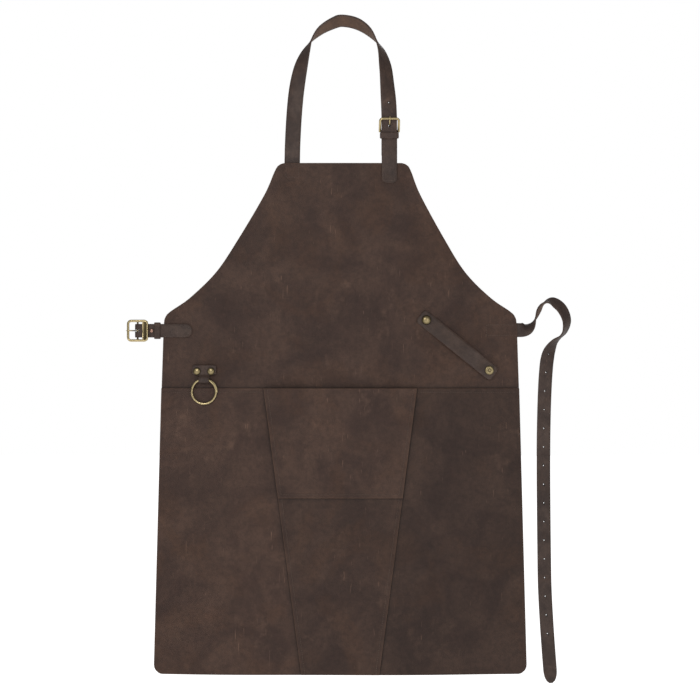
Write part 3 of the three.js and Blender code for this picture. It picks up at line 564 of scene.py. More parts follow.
hideTones = {
    "dark": linear(48, 33, 27), "light": linear(63, 45, 36), "warm": linear(66, 43, 28),
    "deep": linear(34, 23, 18), "pale": linear(102, 79, 66), "edge": linear(84, 62, 49),
    "flesh": linear(64, 48, 39), "fleshWarm": linear(82, 61, 47),
    # the crease weight sets how strongly painted shade darkens the grain's creases
    "warming": 0.3, "mottling": 0.45, "scuffing": 0.5, "creaseShade": 0.35, "edging": 0.45,
    "rough": 0.74, "gloss": 0.22,
    "bump": 0.5, "cloud": 13.0, "scuff": 38.0, "pebble": 720.0, "crease": 55.0,
}
strapTones = dict(hideTones, dark=linear(47, 35, 30), light=linear(63, 49, 42), warm=linear(62, 43, 31),
                  edge=linear(70, 53, 43), edging=0.4, cloud=26.0, scuff=60.0, rough=0.7, gloss=0.28)
brassTones = {"bright": (0.46, 0.37, 0.20, 1), "dark": (0.06, 0.045, 0.022, 1),
              "pale": (0.86, 0.78, 0.58, 1), "patina": 0.3, "recess": 1.15, "rough": 0.2}
copperTones = dict(brassTones, bright=(0.30, 0.18, 0.14, 1), dark=(0.14, 0.075, 0.05, 1),
                   pale=(0.85, 0.66, 0.55, 1))
hideLeather = leatherMaterial("oiledLeather", hideTones)
strapLeather = leatherMaterial("strapLeather", strapTones)
brass = metalMaterial("antiqueBrass", brassTones)
copper = metalMaterial("wornCopper", copperTones)
waxedThread = threadMaterial("waxedThread", linear(74, 58, 48), linear(44, 34, 29))
print("materials made")


# Gives a piece its material, attaches it to the body it rides on or, when it is to bend, bakes its placement in,
# and hides the parts it stands for.
def finishPiece(piece, material, bodyName, *nodes, bend=None):
    piece.data.materials.clear()
    piece.data.materials.append(material)
    piece.data.polygons.foreach_set("material_index", [0] * len(piece.data.polygons))
    if bend:
        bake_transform(piece)
    else:
        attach(piece, bodyName)
    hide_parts(*nodes)


# ---- body panels ----

armhole = [
    (body["waist"] / 2, waistHeight - body["seamOverlap"]), (body["waist"] / 2 - 2, 505),
    (283.5, 560), (280.5, 574), (272, 583), (241, 604.5), (200, 645), (166, 697),
    (body["topWidth"] / 2 + 17.5, 768), (body["topWidth"] / 2 + 1.5, 806),
    (body["topWidth"] / 2 - 5, 816.5), (body["topWidth"] / 2 - 14, body["top"]),
]
neck = {"left": -76, "right": 78.5, "width": 25, "sewn": 26, "tip": 7, "hole": 3.0, "spareHole": 1.8,
        "firstHole": 20.8, "pitch": 37.5, "barHeight": 871, "frameWidth": 34, "reach": 22,
        "frameCorner": 4.5, "keeperDrop": 2, "slot": 4.6, "slotLength": 13.4, "footDrop": 6}
waistStrap = {"height": 552.5, "width": 22.6, "tip": 22, "sewn": 52, "hole": 1.9, "pitch": 30, "count": 16,
              "first": 80}
buckle = {"height": 551.5, "width": 22, "end": -238, "fold": 286.5, "barX": -325.7, "frameWidth": 35.2,
          "frameHeight": 35.5, "frameCorner": 5, "inner": 18.9, "keeper": 9.8, "keeperHide": 1.8,
          "keeperGap": 1.8, "slack": 0.5, "rivet": -16.1, "rivetWasher": 3.8, "slot": 3.0, "broad": 4.4,
          "broadIn": 5.2}
wire = {"frame": 2.0, "bar": 1.6, "prong": 1.0, "gap": 0.35}


# A plain spline through the armhole's points, as (x, height).
def splinePoint(points, at):
    count = len(points)
    place = (count - 1) * at
    first = min(int(place), count - 2)
    share = place - first
    p0, p1, p2, p3 = (np.array(points[min(count - 1, max(0, first + k))], float) for k in (-1, 0, 1, 2))
    v0, v1 = (p2 - p0) / 2, (p3 - p1) / 2
    return ((2 * (p1 - p2) + v0 + v1) * share ** 3 + (3 * (p2 - p1) - 2 * v0 - v1) * share ** 2
            + v0 * share + p1)


armholeLine = np.array([splinePoint(armhole, at) for at in between(0, 1, 600)])
waistEdge = min((splinePoint(armhole, at) for at in between(0, 1, 60)),
                key=lambda spot: abs(spot[1] - waistStrap["height"]))[0]


# A low ridge round a sewn end that lies behind the bib, and a slight swelling inside it.
def pressedEnd(x, height, left, right, low, high):
    inside = min(x - left, right - x, height - low, high - height)
    ridge = 0.55 * math.exp(-((inside - 0.5) / 1.1) ** 2)
    dip = -0.3 * math.exp(-((inside + 1.9) / 1.2) ** 2)
    swell = 0.16 if inside > 1 else 0
    return ridge + dip + swell


def bibRelief(x, height):
    raised, past = 0.0, 10
    top, middle, half = body["top"], waistStrap["height"], waistStrap["width"] / 2
    if abs(x - neck["left"] + 1) < 22 and height > top - 40:
        raised += pressedEnd(x, height, neck["left"] - 13.5, neck["left"] + 11.5, top - neck["sewn"],
                             top + past)
    if x > waistEdge - waistStrap["sewn"] - past and abs(height - middle) < 20:
        raised += pressedEnd(x, height, waistEdge - waistStrap["sewn"], body["hem"], middle - half,
                             middle + half)
    return raised


def bibRows():
    lowest, top, straightTo = waistHeight - body["seamOverlap"], body["top"], 620
    rows = []
    for height in spread(lowest + 1e-3, top - 1e-3, body["cell"], body["edgeRound"]):
        lean = body["lean"] * max(0, (height - straightTo) / (top - straightTo))
        edge = float(np.interp(height, armholeLine[:, 1], armholeLine[:, 0]))
        rows.append((height, lean - edge, lean + edge))
    return rows


def sideEdge(height):
    edge = body["hem"] / 2 + (body["waist"] - body["hem"]) / 2 * height / waistHeight
    corner = body["corner"]
    if height < corner:
        edge -= corner * (1 - math.sqrt(max(0, 1 - (1 - height / corner) ** 2)))
    return edge


def sideRows(side):
    rows = []
    for height in spread(0, waistHeight, 4.5, body["edgeRound"]):
        inner, outer = goreEdge(height) - body["goreOverlap"], sideEdge(height)
        rows.append((height, *sorted((side * inner, side * outer))))
    return rows


def goreRows(low, cell):
    return [(height, -goreEdge(height), goreEdge(height))
            for height in spread(low, waistHeight, cell, body["edgeRound"])]


# The pocket's back stands off the gore towards its open mouth.
def pocketBack(x, height):
    rise = max(0, (height - pocketBottom) / body["pocketHeight"])
    middle = max(0, 1 - (x / goreEdge(height)) ** 2)
    return layer(3) + body["mouthGape"] * rise * rise * middle


# A faint raised line where the gore turns over the pocket's bottom seam.
def goreRelief(x, height):
    return 0.3 * math.exp(-((height - pocketBottom + 3.2) / 0.9) ** 2)


# Each panel is a hung sheet of leather, cut to the shape of its rows.
def addPanel(name, node, rows, columns, backAt, reliefAt, shade):
    panel = leatherPanel(name, rows, columns, backAt, reliefAt, shade)
    finishPiece(panel, hideLeather, "apron", node)


# The last number scales each panel's colour: the pieces' own tones, with painted shade as well in the right
# skirt's 0.8.
addPanel("bibPanel", "bib_panel", bibRows(), 500, lambda x, h: 0,
         bibRelief, 1.0)
addPanel("skirtLeft", "skirt_left_panel", sideRows(-1), 320, lambda x, h: layer(1), None, 1.1)
addPanel("skirtRight", "skirt_right_panel", sideRows(1), 320, lambda x, h: layer(1), None, 0.8)
addPanel("skirtCentre", "skirt_centre_panel", goreRows(0, 2.6), 190, lambda x, h: layer(2),
         goreRelief, 0.93)
addPanel("centrePocket", "centre_pocket", goreRows(pocketBottom, 3.0), 200,
         pocketBack, None, 1.06)
print("body panels made")

# ---- neck strap and its buckle ----

# x, distance behind the bib's back, height and turn in degrees: 0 shows the grain, 90 the edge.
neckRoute = [
    (neck["left"] - 1.5, 2.2, body["top"] - neck["sewn"], 0), (neck["left"] - 1, 2.2, body["top"], 0),
    (neck["left"] - 0.3, 3, 850, 0), (neck["left"] + 2.4, 5, 900, 0), (neck["left"] + 6.4, 8, 940, 8),
    (neck["left"] + 13, 12, 975, 30), (neck["left"] + 21, 16, 1000, 62),
    (neck["left"] + 30, 20, 1018, 92), (neck["left"] + 46, 24, 1035, 118),
    (neck["left"] + 68, 27, 1047, 134), (neck["right"] - 78, 28, 1049.5, 137),
    (neck["right"] - 54, 27, 1045.5, 134), (neck["right"] - 35, 24, 1034, 118),
    (neck["right"] - 20.5, 19, 1017, 92), (neck["right"] - 12.5, 14, 1002, 68),
    (neck["right"] - 6.2, 8, 975, 38), (neck["right"] - 3.2, 2, 945, 24),
    (neck["right"] - 1, -3.2, 915, 6), (neck["right"] - 0.2, -6.2, 894, 0),
    (neck["right"], -6.4, 876, 0), (neck["right"], -6.4, 858.5, 0),
]


# Stations along a route, with the strap's rounded tip at its end.
def routeStations(route, steps, width, tip):
    spots = [onApron(x, height, -behind) for x, behind, height, _ in route]
    turns = [np.array((math.radians(row[3]), i * 0.5, 0)) for i, row in enumerate(route)]
    last = spots[-1]
    stations = []
    for i in range(steps + 1):
        at = i / steps
        middle = catmull(spots, at)
        ahead = unit(catmull(spots, min(1, at + 1e-4)) - catmull(spots, max(0, at - 1e-4)))
        slope = middle[0] / body["radius"]
        outward = unit(np.array((-ahead[2], -ahead[2] * slope, ahead[0])))
        turn = catmull(turns, at)[0]
        side = outward * math.cos(turn) + np.array((0, math.sin(turn), 0))
        stations.append((middle, side, tipHalf(width, np.linalg.norm(middle - last) + 0.2, tip)))
    return stations


# The frame a distance along a strap, for a hole.
def frameAtLength(frames, distance):
    run = 0
    for before, after in zip(frames, frames[1:]):
        gap = np.linalg.norm(after[0] - before[0])
        if run + gap >= distance:
            share = (distance - run) / gap
            return (before[0] + (after[0] - before[0]) * share, *after[1:])
        run += gap
    return frames[-1]


# Punches round holes through a strap, at distances from its tip.
def punchHoles(piece, frames, holes):
    length = sum(np.linalg.norm(b[0] - a[0]) for a, b in zip(frames, frames[1:]))
    shapes = []
    for fromTip, diameter in holes:
        middle, side, face, _ = frameAtLength(frames, length - fromTip)
        shapes.append(bar([middle - face * 5, middle + face * 5], diameter / 2, 22, normal=side))
    cutWith(piece, meshObject("punches", *together(*shapes)))


neckFrames = strapFrames(routeStations(neckRoute, 230, neck["width"], neck["tip"]))
neckStrap = strap("neckStrap", neckFrames, strapHide)
punchHoles(neckStrap, neckFrames, [(neck["firstHole"], neck["hole"]),
                                   (neck["firstHole"] + neck["pitch"], neck["spareHole"])])
finishPiece(neckStrap, strapLeather, "apron", "neck_strap")


def arcSpots(radius, end=math.pi, count=20):
    return [(radius * math.cos(a), radius * math.sin(a)) for a in between(0, end, count)]


def boxShape(centre, size):
    x, y, z = (s / 2 for s in size)
    corners = [(i * x, j * y, k * z) for i in (-1, 1) for j in (-1, 1) for k in (-1, 1)]
    faces = [(0, 1, 3, 2), (4, 6, 7, 5), (0, 4, 5, 1), (2, 3, 7, 6), (0, 2, 6, 4), (1, 5, 7, 3)]
    return [np.array(c) + centre for c in corners], faces


# Cuts closed shapes, given about a seat, out of a strap.
def cutShapes(piece, seat, *shapes):
    for points, faces in shapes:
        cutWith(piece, meshObject("cutter", seated(points, seat), faces))


def seatedStations(stations, seat):
    turn = (np.zeros(3), seat[1])
    return [(seated([m], seat)[0], seated([s], turn)[0], half) for m, s, half in stations]


foldRadius = wire["bar"] + wire["gap"] + strapHide / 2
neckLay = hide + lay + strapHide / 2
neckBarFront = neckLay - foldRadius
neckSeat = seatAt(neck["right"], body["top"])
neckSeat[0][2] = -body["loop"]
neckBar = np.array((0, -neckBarFront, neck["barHeight"]))
buckleFoot = body["top"] - neck["sewn"] - neck["footDrop"]


# Up the bib, round the buckle's bar and back down behind.
def neckBuckleStations():
    width, tip, up, behindTo = neck["width"], neck["tip"], neck["barHeight"], body["top"] + 12
    heights = between(buckleFoot, buckleFoot + tip, 10) + between(buckleFoot + tip, up, 20)[1:]
    spots = [(neckLay, h, tipHalf(width, h - buckleFoot + 0.4, tip)) for h in heights]
    spots += [(neckBarFront + out, up + ahead, width / 2) for out, ahead in arcSpots(foldRadius)[1:]]
    spots += [(neckBarFront - foldRadius, h, width / 2) for h in between(up, behindTo, 12)[1:]]
    return [(np.array((0, -front, h)), np.array((-1.0, 0, 0)), half) for front, h, half in spots]


neckBuckleFrames = strapFrames(seatedStations(neckBuckleStations(), neckSeat))
neckBuckleStrap = strap("neckBuckleStrap", neckBuckleFrames, strapHide)
cutShapes(neckBuckleStrap, neckSeat, boxShape(neckBar + (0, 0, 1.9), (neck["slot"], 30, neck["slotLength"])))
finishPiece(neckBuckleStrap, strapLeather, "apron", "neck_buckle_strap")


# Points round a rectangle with rounded corners, in a plane of across and along.
def roundedLoop(width, height, corner, cornerSteps=9, sideSteps=6):
    x, z = width / 2 - corner, height / 2 - corner
    spots = []
    for cx, cz, start in ((x, z, 0), (-x, z, 90), (-x, -z, 180), (x, -z, 270)):
        for k in range(cornerSteps + 1):
            angle = math.radians(start + 90 * k / cornerSteps)
            spots.append((cx + corner * math.cos(angle), cz + corner * math.sin(angle)))
    filled = []
    for (ax, az), (bx, bz) in zip(spots, spots[1:] + spots[:1]):
        count = sideSteps if math.hypot(bx - ax, bz - az) > 4 else 1
        filled += [(ax + (bx - ax) * k / count, az + (bz - az) * k / count) for k in range(count)]
    return filled


# One metal piece from overlapping closed shapes.
def unioned(name, shapes, seat):
    made = meshObject(name, seated(shapes[0][0], seat), shapes[0][1])
    for points, faces in shapes[1:]:
        cutWith(made, meshObject("part", seated(points, seat), faces), "UNION")
    setWorn(made.data, [0.85] * len(made.data.vertices))
    return made


neckTopFront = -neckRoute[-3][1] + strapHide / 2 + lay + wire["frame"] + 0.4
neckTilt = math.asin((neckTopFront - neckBarFront) / neck["reach"])


# The frame leans out from its bar to clear the strap, its lower side left open.
def neckFrameShapes():
    half, low, sides = neck["frameWidth"] / 2 - wire["frame"], 5.6, (-1.2, 1.5, 4.0)
    c, s = math.cos(neckTilt), math.sin(neckTilt)
    lean = np.array(((1, 0, 0), (0, c, -s), (0, s, c)))
    upper = [(x, 0, z + neck["reach"] / 2)
             for x, z in roundedLoop(2 * half, neck["reach"], neck["frameCorner"])]
    start = next(i for i, p in enumerate(upper) if p[2] <= low)
    run = [(half, 0, z) for z in sides] + [p for p in upper[start:] + upper[:start] if p[2] > low]
    run += [(-half, 0, z) for z in reversed(sides)]
    shapes = bar(run, wire["frame"], 16), bar([(-half, 0, 0), (half, 0, 0)], wire["bar"], 14)
    return [(np.asarray(points) @ lean.T + neckBar, faces) for points, faces in shapes]


finishPiece(unioned("neckBuckleFrame", neckFrameShapes(), neckSeat), brass, "apron", "neck_buckle_frame")


def prongTaper(at):
    return 1.0 if at < 0.75 else 1 - 0.35 * (at - 0.75) / 0.25


# A prong: an eye round the bar and a tapered wire, in a plane of out and ahead from the bar.
def prongShapes(spots):
    eye = wire["bar"] + wire["gap"] + wire["prong"]
    eyeRing = [(0, out, ahead) for ahead, out in arcSpots(eye, 2 * math.pi, 28)[:-1]]
    stem = through([(0, -out, ahead) for out, ahead in spots], 40)
    return [bar(eyeRing, wire["prong"], 12, closed=True, normal=(1, 0, 0)),
            bar(stem, wire["prong"], 12, normal=(1, 0, 0), ends=prongTaper)]


neckTip = neckTopFront + wire["frame"] + wire["prong"] + 0.3 - neckBarFront
neckProngShapes = [(np.asarray(points) + neckBar, faces) for points, faces in prongShapes([
    (1.5, 2.4), (3.2, 5.4), (5.6, 8.6), (9.2, 10.6), (neckTip - 0.6, 15.4), (neckTip, 20.4),
    (neckTip - 0.2, 23.6)])]
finishPiece(unioned("neckProng", neckProngShapes, neckSeat), brass, "apron", "neck_prong")


# A leather keeper: a band round the straps, in the plane of across and front.
def keeperStations(width, back, front, start):
    clear, length = buckle["slack"] + buckle["keeperHide"] / 2, buckle["keeper"]
    middle = (back + front) / 2
    around = roundedLoop(width + 2 * clear, front - back + 2 * clear, 1.5, 6, 10)
    return [(np.array((a, -(middle + f), start + length / 2)), np.array((0, 0, 1.0)), length / 2)
            for a, f in reversed(around)]


def addKeeper(name, node, bodyName, stations, seat):
    frames = strapFrames(seatedStations(stations, seat), closed=True)
    keeper = strap(name, frames, buckle["keeperHide"], closed=True, rounding=0.6)
    finishPiece(keeper, strapLeather, bodyName, node)


neckBackFace, neckTailFront = neckBarFront - foldRadius - strapHide / 2, -neckRoute[-1][1] + strapHide / 2
addKeeper("neckKeeper", "neck_keeper", "neck_keeper_body", keeperStations(
    neck["width"], neckBackFace, neckTailFront,
    neck["barHeight"] - neck["keeperDrop"] - buckle["keeper"]), neckSeat)
print("neck strap and buckle made")

# ---- rivets, ring and tab ----

rivet = {"post": 1.6, "washer": 4.6, "washerDepth": 1.0, "stud": 2.5, "rim": 0.7}
post, washer, stud = rivet["post"], rivet["washer"], rivet["stud"]


# The hole that a post needs through a strap, about the strap's seat.
def postHole(x=0, height=0):
    return bar([(x, -30, height), (x, 30, height)], post + lay, 20, normal=(1, 0, 0))


# A domed head, dark towards its rim, and a post peened over its washer.
def rivetProfile(radius, rise, underHead):
    rim, dome = underHead + lay, []
    behind = -lay - rivet["washerDepth"] - 0.1
    for a in between(0, math.pi / 2, 16)[1:]:
        dark = 0.8 * max(0, math.sin(a) - 0.45) / 0.55
        dome.append((radius * math.sin(a), rim + rivet["rim"] + (rise - rivet["rim"]) * math.cos(a), 0.95 - dark))
    return ([(0, rim + rise, 1.0)] + dome
            + [(radius, rim + 0.25, 0.5), (radius - 0.25, rim, 0.1), (post, rim, 0), (post, behind, 0),
               (post * 1.7, behind, 0.6), (post * 1.6, behind - 0.3, 0.9), (post * 1.3, behind - 0.7, 0.9),
               (post * 0.7, behind - 0.8, 0.7), (0, behind - 0.8, 0.6)])


def washerProfile(radius, back):
    inner, behind = post + 0.25, -back - rivet["washerDepth"]
    return [(inner, -back, 0.3), (radius, -back, 0.5), (radius, -back - 0.7, 0.9),
            (radius - 0.3, behind, 0.9), (inner, behind, 0.5), (inner, -back, 0.3)]


def addRivet(name, node, radius, rise, underHead, seat):
    head = turned(f"{name}Rivet", rivetProfile(radius, rise, underHead), seat)
    finishPiece(head, brass, "apron", f"{node}_rivet")
    finishPiece(turned(f"{name}Washer", washerProfile(washer, lay), seat), brass, "apron", f"{node}_washer")


ring = {"x": -217.5, "top": 473.6, "diameter": 43, "wire": 1.85, "play": 0.5, "tabTop": 496,
        "tabWidth": 39, "tabDepth": 18, "tabCorner": 3.2, "tongue": 17, "rivetHeight": 486.3,
        "rivetHead": 6, "rivetRise": 3.4, "spacing": 22.8, "lapOut": 1.35, "lapWire": 0.82}
ringSeat = seatAt(ring["x"], ring["top"])
ringSeat[0][2] = -body["loop"]
tabBack = hide + lay + hide / 2
ringRadius = ring["diameter"] / 2 - ring["wire"]
ringDip = ringRadius - math.sqrt(ringRadius ** 2 - (ring["tongue"] / 2) ** 2)
ringAxis = ring["top"] - ringDip / 2
loopRadius = ring["wire"] + ringDip / 2 + ring["play"] + hide / 2
ringFront = tabBack + loopRadius
tabFront = tabBack + hide + lay


# Down the tab's front, round the ring and back up behind, as (front, height, half width).
def tabStations():
    top, low, corner = ring["tabTop"], ring["tabTop"] - ring["tabDepth"], ring["tabCorner"]
    wide, slim = ring["tabWidth"] / 2, ring["tongue"] / 2
    narrow = wide - 2.7
    spots = [(tabFront, top - d, wide - corner + math.sqrt(max(0, corner ** 2 - (corner - d) ** 2)))
             for d in (0.0, 0.3, 1.0, 2.0, corner)]
    spots += [(tabFront, h, wide) for h in between(top - 5, low + 6, 6)]
    spots += [(tabFront, low + 6 - d, wide - 0.9 * d * d / 3) for d in (0.8, 1.6, 2.4, 3.0)]
    loop = through([(tabFront, top - 14.5), (tabFront + 0.9, top - 16.4),
                    (ringFront + loopRadius - 1.2, ringAxis + 2.8), (ringFront + loopRadius, ringAxis)], 14)
    spots += [(*spot, narrow + (slim - narrow) * min(1, i / 4) ** 0.6) for i, spot in enumerate(loop)]
    spots += [(ringFront + out, ringAxis - ahead, slim) for out, ahead in arcSpots(loopRadius)[1:]]
    spots += [(tabBack, h, slim) for h in between(ringAxis + 1, low + 2, 3)]
    spots += [(tabBack, h, wide) for h in [low + 4] + between(low + 5, top - 1.5, 5)]
    return [(np.array((0, -front, height)), np.array((1.0, 0, 0)), half) for front, height, half in spots]


rivetsAt = [sign * ring["spacing"] / 2 for sign in (-1, 1)]
tab = strap("ringTab", strapFrames(seatedStations(tabStations(), ringSeat)), hide)
cutShapes(tab, ringSeat, *(postHole(along, ring["rivetHeight"]) for along in rivetsAt))
finishPiece(tab, strapLeather, "apron", "ring_tab")
for name, along in zip(("Left", "Right"), rivetsAt):
    place = seated([(along, 0, ring["rivetHeight"])], ringSeat)[0]
    addRivet(f"tab{name}", f"tab_{name.lower()}", ring["rivetHead"], ring["rivetRise"], tabFront + hide / 2,
             (place, ringSeat[1]))


def lapTaper(at):
    return min(1, 0.35 + 4 * min(at, 1 - at))


# The ring's wire, and its end lapped along the outside at the upper right.
def ringShapes():
    centre = np.array((0, -ringFront, ring["top"] - ringRadius))
    circle = [centre + (x, 0, z) for x, z in arcSpots(ringRadius, 2 * math.pi, 96)[:-1]]
    reach = ringRadius + ring["lapOut"]
    lap = [centre + (reach * math.cos(a), 0, reach * math.sin(a))
           for a in between(math.radians(-8), math.radians(52), 30)]
    return [bar(circle, ring["wire"], 16, closed=True),
            bar(lap, ring["wire"] * ring["lapWire"], 14, ends=lapTaper)]


finishPiece(unioned("hangingRing", ringShapes(), ringSeat), brass, "ring_body", "hanging_ring")
print("ring and tab made")

# ---- towel strap ----

towel = {"x": 137.5, "height": 568.6, "span": 128.5, "angle": math.radians(-38.8), "width": 25,
         "end": 11.8, "corner": 5, "bow": 4.6, "seat": 8, "hinge": 14, "rise": 3.7, "rivetHead": 7.5,
         "rivetRise": 5}


def towelAlong(distance):
    return (towel["x"] + distance * math.cos(towel["angle"]),
            towel["height"] + distance * math.sin(towel["angle"]))


def towelRise(distance):
    share = min(1, max(0, (distance - towel["seat"]) / (towel["span"] - 2 * towel["seat"])))
    return hide + lay + towel["rise"] * share + towel["bow"] * math.sin(math.pi * share) ** 2


def towelStations():
    across, down = math.sin(towel["angle"]), math.cos(towel["angle"])
    start, finish = -towel["end"], towel["span"] + towel["end"]
    stations = []
    for distance in spread(start, finish, 2.2, 2.4):
        x, height = towelAlong(distance)
        middle = onApron(x, height, towelRise(distance) + strapHide / 2)
        nearest = min(distance - start, finish - distance)
        side = np.array((-across, -across * x / body["radius"], down))
        stations.append((middle, side, tipHalf(towel["width"], nearest + 0.7, towel["corner"])))
    return stations


towelRivetSeat = seatAt(towel["x"], towel["height"])
snapSeat = seatAt(*towelAlong(towel["span"]))
towelStrap = strap("towelStrap", strapFrames(towelStations()), strapHide)
for seat in (towelRivetSeat, snapSeat):
    cutShapes(towelStrap, seat, postHole())
finishPiece(towelStrap, strapLeather, "apron", "towel_strap_end", "towel_strap_flap",
            bend=("towel_flap", *(onApron(*towelAlong(towel["hinge"] + d), hide) for d in (-2.5, 4.0))))
addRivet("towel", "towel", towel["rivetHead"], towel["rivetRise"], hide + lay + strapHide, towelRivetSeat)
bibFace = hide + lay
socketBack = bibFace + towel["rise"]


# A snap part from rings of (radius, rise above its base, wear).
def addSnapPart(name, node, bodyName, base, rings):
    made = turned(name, [(radius, base + rise, worn) for radius, rise, worn in rings], snapSeat)
    finishPiece(made, brass, bodyName, node)


throughStrap = -strapHide - lay + 0.3
addSnapPart("snapCap", "towel_snap_cap", "towel_flap", socketBack + strapHide + lay, [
    (0, 2.25, 0.9), (1.3, 2.15, 0.85), (2.2, 1.9, 0.3), (2.7, 1.95, 0.3), (3.1, 2.35, 0.8),
    (3.6, 2.52, 0.95), (4.6, 2.5, 0.9), (5.6, 2.3, 0.85), (6.5, 1.8, 0.8), (7.0, 1.2, 0.7), (7.2, 0.6, 0.5),
    (7.1, 0, 0.1), (post, 0, 0), (post, throughStrap, 0), (0, throughStrap, 0)])
addSnapPart("snapSocket", "towel_snap_socket", "towel_flap", socketBack - lay, [
    (0, 0, 0.4), (5.2, 0, 0.5), (5.5, -0.4, 0.8), (5.6, -1.0, 0.9), (5.5, -2.0, 0.9), (5.2, -2.6, 0.8),
    (stud + 1.0, -2.6, 0.6), (stud + 0.7, -2.3, 0.3), (stud + 0.7, -0.5, 0), (0, -0.5, 0)])
behindBib = -bibFace - lay
addSnapPart("snapStud", "towel_snap_stud", "apron", bibFace, [
    (0, 2.6, 0.9), (stud * 0.6, 2.55, 0.9), (stud * 0.85, 2.35, 0.9), (stud, 1.8, 0.9),
    (stud * 0.9, 1.1, 0.4), (stud * 0.84, 0.7, 0.2), (5.6, 0.5, 0.8), (5.8, 0, 0.4), (post, 0, 0),
    (post, behindBib - 0.1, 0), (washer, behindBib - 0.1, 0.3), (washer, behindBib - 0.6, 0.8),
    (washer * 0.8, behindBib - 1.2, 0.9), (0, behindBib - 1.2, 0.6)])
print("towel strap made")

# ---- waist buckle strap ----

waistSeat = seatAt(-buckle["fold"], buckle["height"])
flapFront = hide + lay + strapHide / 2
waistBarFront = flapFront - foldRadius
barAlong = (buckle["barX"] + buckle["fold"]) / math.cos(waistSeat[1])
flapFace = flapFront + strapHide / 2
waistBackFace = waistBarFront - foldRadius - strapHide / 2


# Along the bib to its edge, round the buckle's bar and back behind to the edge.
def waistBuckleStations():
    down, width, behindFrom = np.array((0, 0, -1.0)), buckle["width"], -12.2
    sewn = [(onApron(x, buckle["height"], flapFront), down,
             tipHalf(width, buckle["end"] - x + 0.3, width / 2))
            for x in spread(buckle["end"], -buckle["fold"] + 0.6, 2.4, 2.4)[:-3]]
    free = [(a, flapFront) for a in between(-1.2, barAlong, 18)]
    free += [(barAlong - ahead, waistBarFront + out) for out, ahead in arcSpots(foldRadius)[1:]]
    free += [(a, waistBarFront - foldRadius) for a in between(barAlong, behindFrom, 12)[1:]]
    stations = [(np.array((a, -front, 0.0)), down, width / 2) for a, front in free]
    return sewn + seatedStations(stations, waistSeat)


waistBuckleStrap = strap("waistBuckleStrap", strapFrames(waistBuckleStations()), strapHide)
cutShapes(waistBuckleStrap, waistSeat, postHole(buckle["rivet"]),
          boxShape((barAlong - 1.2, -waistBarFront, 0), (9, 30, buckle["slot"])))
finishPiece(waistBuckleStrap, strapLeather, "apron", "waist_buckle_strap_root", "waist_buckle_strap",
            bend=("buckle_strap_body",
                  *(onApron(-buckle["fold"] + d, buckle["height"], 0) for d in (1.6, -1.2))))
onStrap, behindStrap = flapFace + lay, waistBackFace - lay
atRivet = (buckle["rivet"], 0, 0)
waistRivet = turned("waistRivet", [
    (0, onStrap + 1.55, 1), (0.9, onStrap + 1.5, 1), (1.8, onStrap + 1.35, 0.95), (2.6, onStrap + 1.0, 0.9),
    (3.1, onStrap + 0.5, 0.8), (3.2, onStrap + 0.2, 0.6), (3.1, onStrap, 0.2), (post, onStrap, 0),
    (post, behindStrap - 1.1, 0), (post * 1.6, behindStrap - 1.1, 0.6), (post * 1.5, behindStrap - 1.5, 0.9),
    (post * 1.1, behindStrap - 1.8, 0.9), (0, behindStrap - 1.85, 0.9)], waistSeat, atRivet, polish=1.0)
finishPiece(waistRivet, copper, "buckle_strap_body", "waist_rivet")
rivetWasher = turned("waistRivetWasher", washerProfile(buckle["rivetWasher"], -behindStrap), waistSeat, atRivet)
finishPiece(rivetWasher, copper, "buckle_strap_body", "waist_rivet_washer")


# The keeper rides on the single layer between the rivet and the apron's edge.
def waistKeeperStations():
    near = -buckle["keeperGap"] - buckle["keeper"] / 2
    return [(np.array((near, middle[1], -middle[0])), np.array((1.0, 0, 0)), half)
            for middle, _, half in keeperStations(buckle["width"], hide + lay, flapFace, 0)]


addKeeper("waistKeeper", "waist_keeper", "buckle_strap_body", waistKeeperStations(), waistSeat)


# A rounded frame with a broad bar at its inner end and a middle bar set back on two arms.
def waistFrameShapes():
    thick, broad, front = wire["frame"], buckle["broad"], -waistBarFront
    level = -(flapFace + lay + thick)
    middle = barAlong - buckle["frameWidth"] / 2 + buckle["inner"]
    broadAt = middle + buckle["frameWidth"] / 2 - buckle["broadIn"]
    rail, half = buckle["frameHeight"] / 2 - thick, buckle["frameHeight"] / 2 - 2.5
    loop = [(middle + x, level, z)
            for x, z in roundedLoop(buckle["frameWidth"] - 2 * thick, 2 * rail, buckle["frameCorner"])]
    shapes = [bar(loop, thick, 16, closed=True),
              bar([(broadAt, level, z) for z in (-half, half)], broad, 28, flat=0.24)]
    for x in (broadAt - broad + 0.9, broadAt + broad - 0.9):
        shapes.append(bar([(x, level - 0.35, z) for z in (-half, half)], 1.15, 14))
    shapes.append(bar([(barAlong, front, z) for z in between(-rail, rail, 4)], wire["bar"], 16))
    for z in (-rail, rail):
        shapes.append(bar([(barAlong, front + 1.5, z), (barAlong, level, z)], 1.55, 14, normal=(1, 0, 0)))
    return shapes


# The groove along the broad bar keeps its dark patina.
def darkenGroove(piece):
    broadAt, reach = barAlong + buckle["inner"] - buckle["broadIn"], buckle["broad"] - 1.9
    place, turn = waistSeat
    worn = piece.data.attributes["worn"]
    for i, vertex in enumerate(piece.data.vertices):
        x, y, z = np.array(vertex.co) / metre - place
        along = x * math.cos(turn) + y * math.sin(turn)
        if abs(along - broadAt) < reach and abs(z) < buckle["frameHeight"] / 2 - 3.5:
            worn.data[i].value = 0.2


waistFrame = unioned("waistBuckleFrame", waistFrameShapes(), waistSeat)
darkenGroove(waistFrame)
finishPiece(waistFrame, brass, "buckle_body", "waist_buckle_frame")


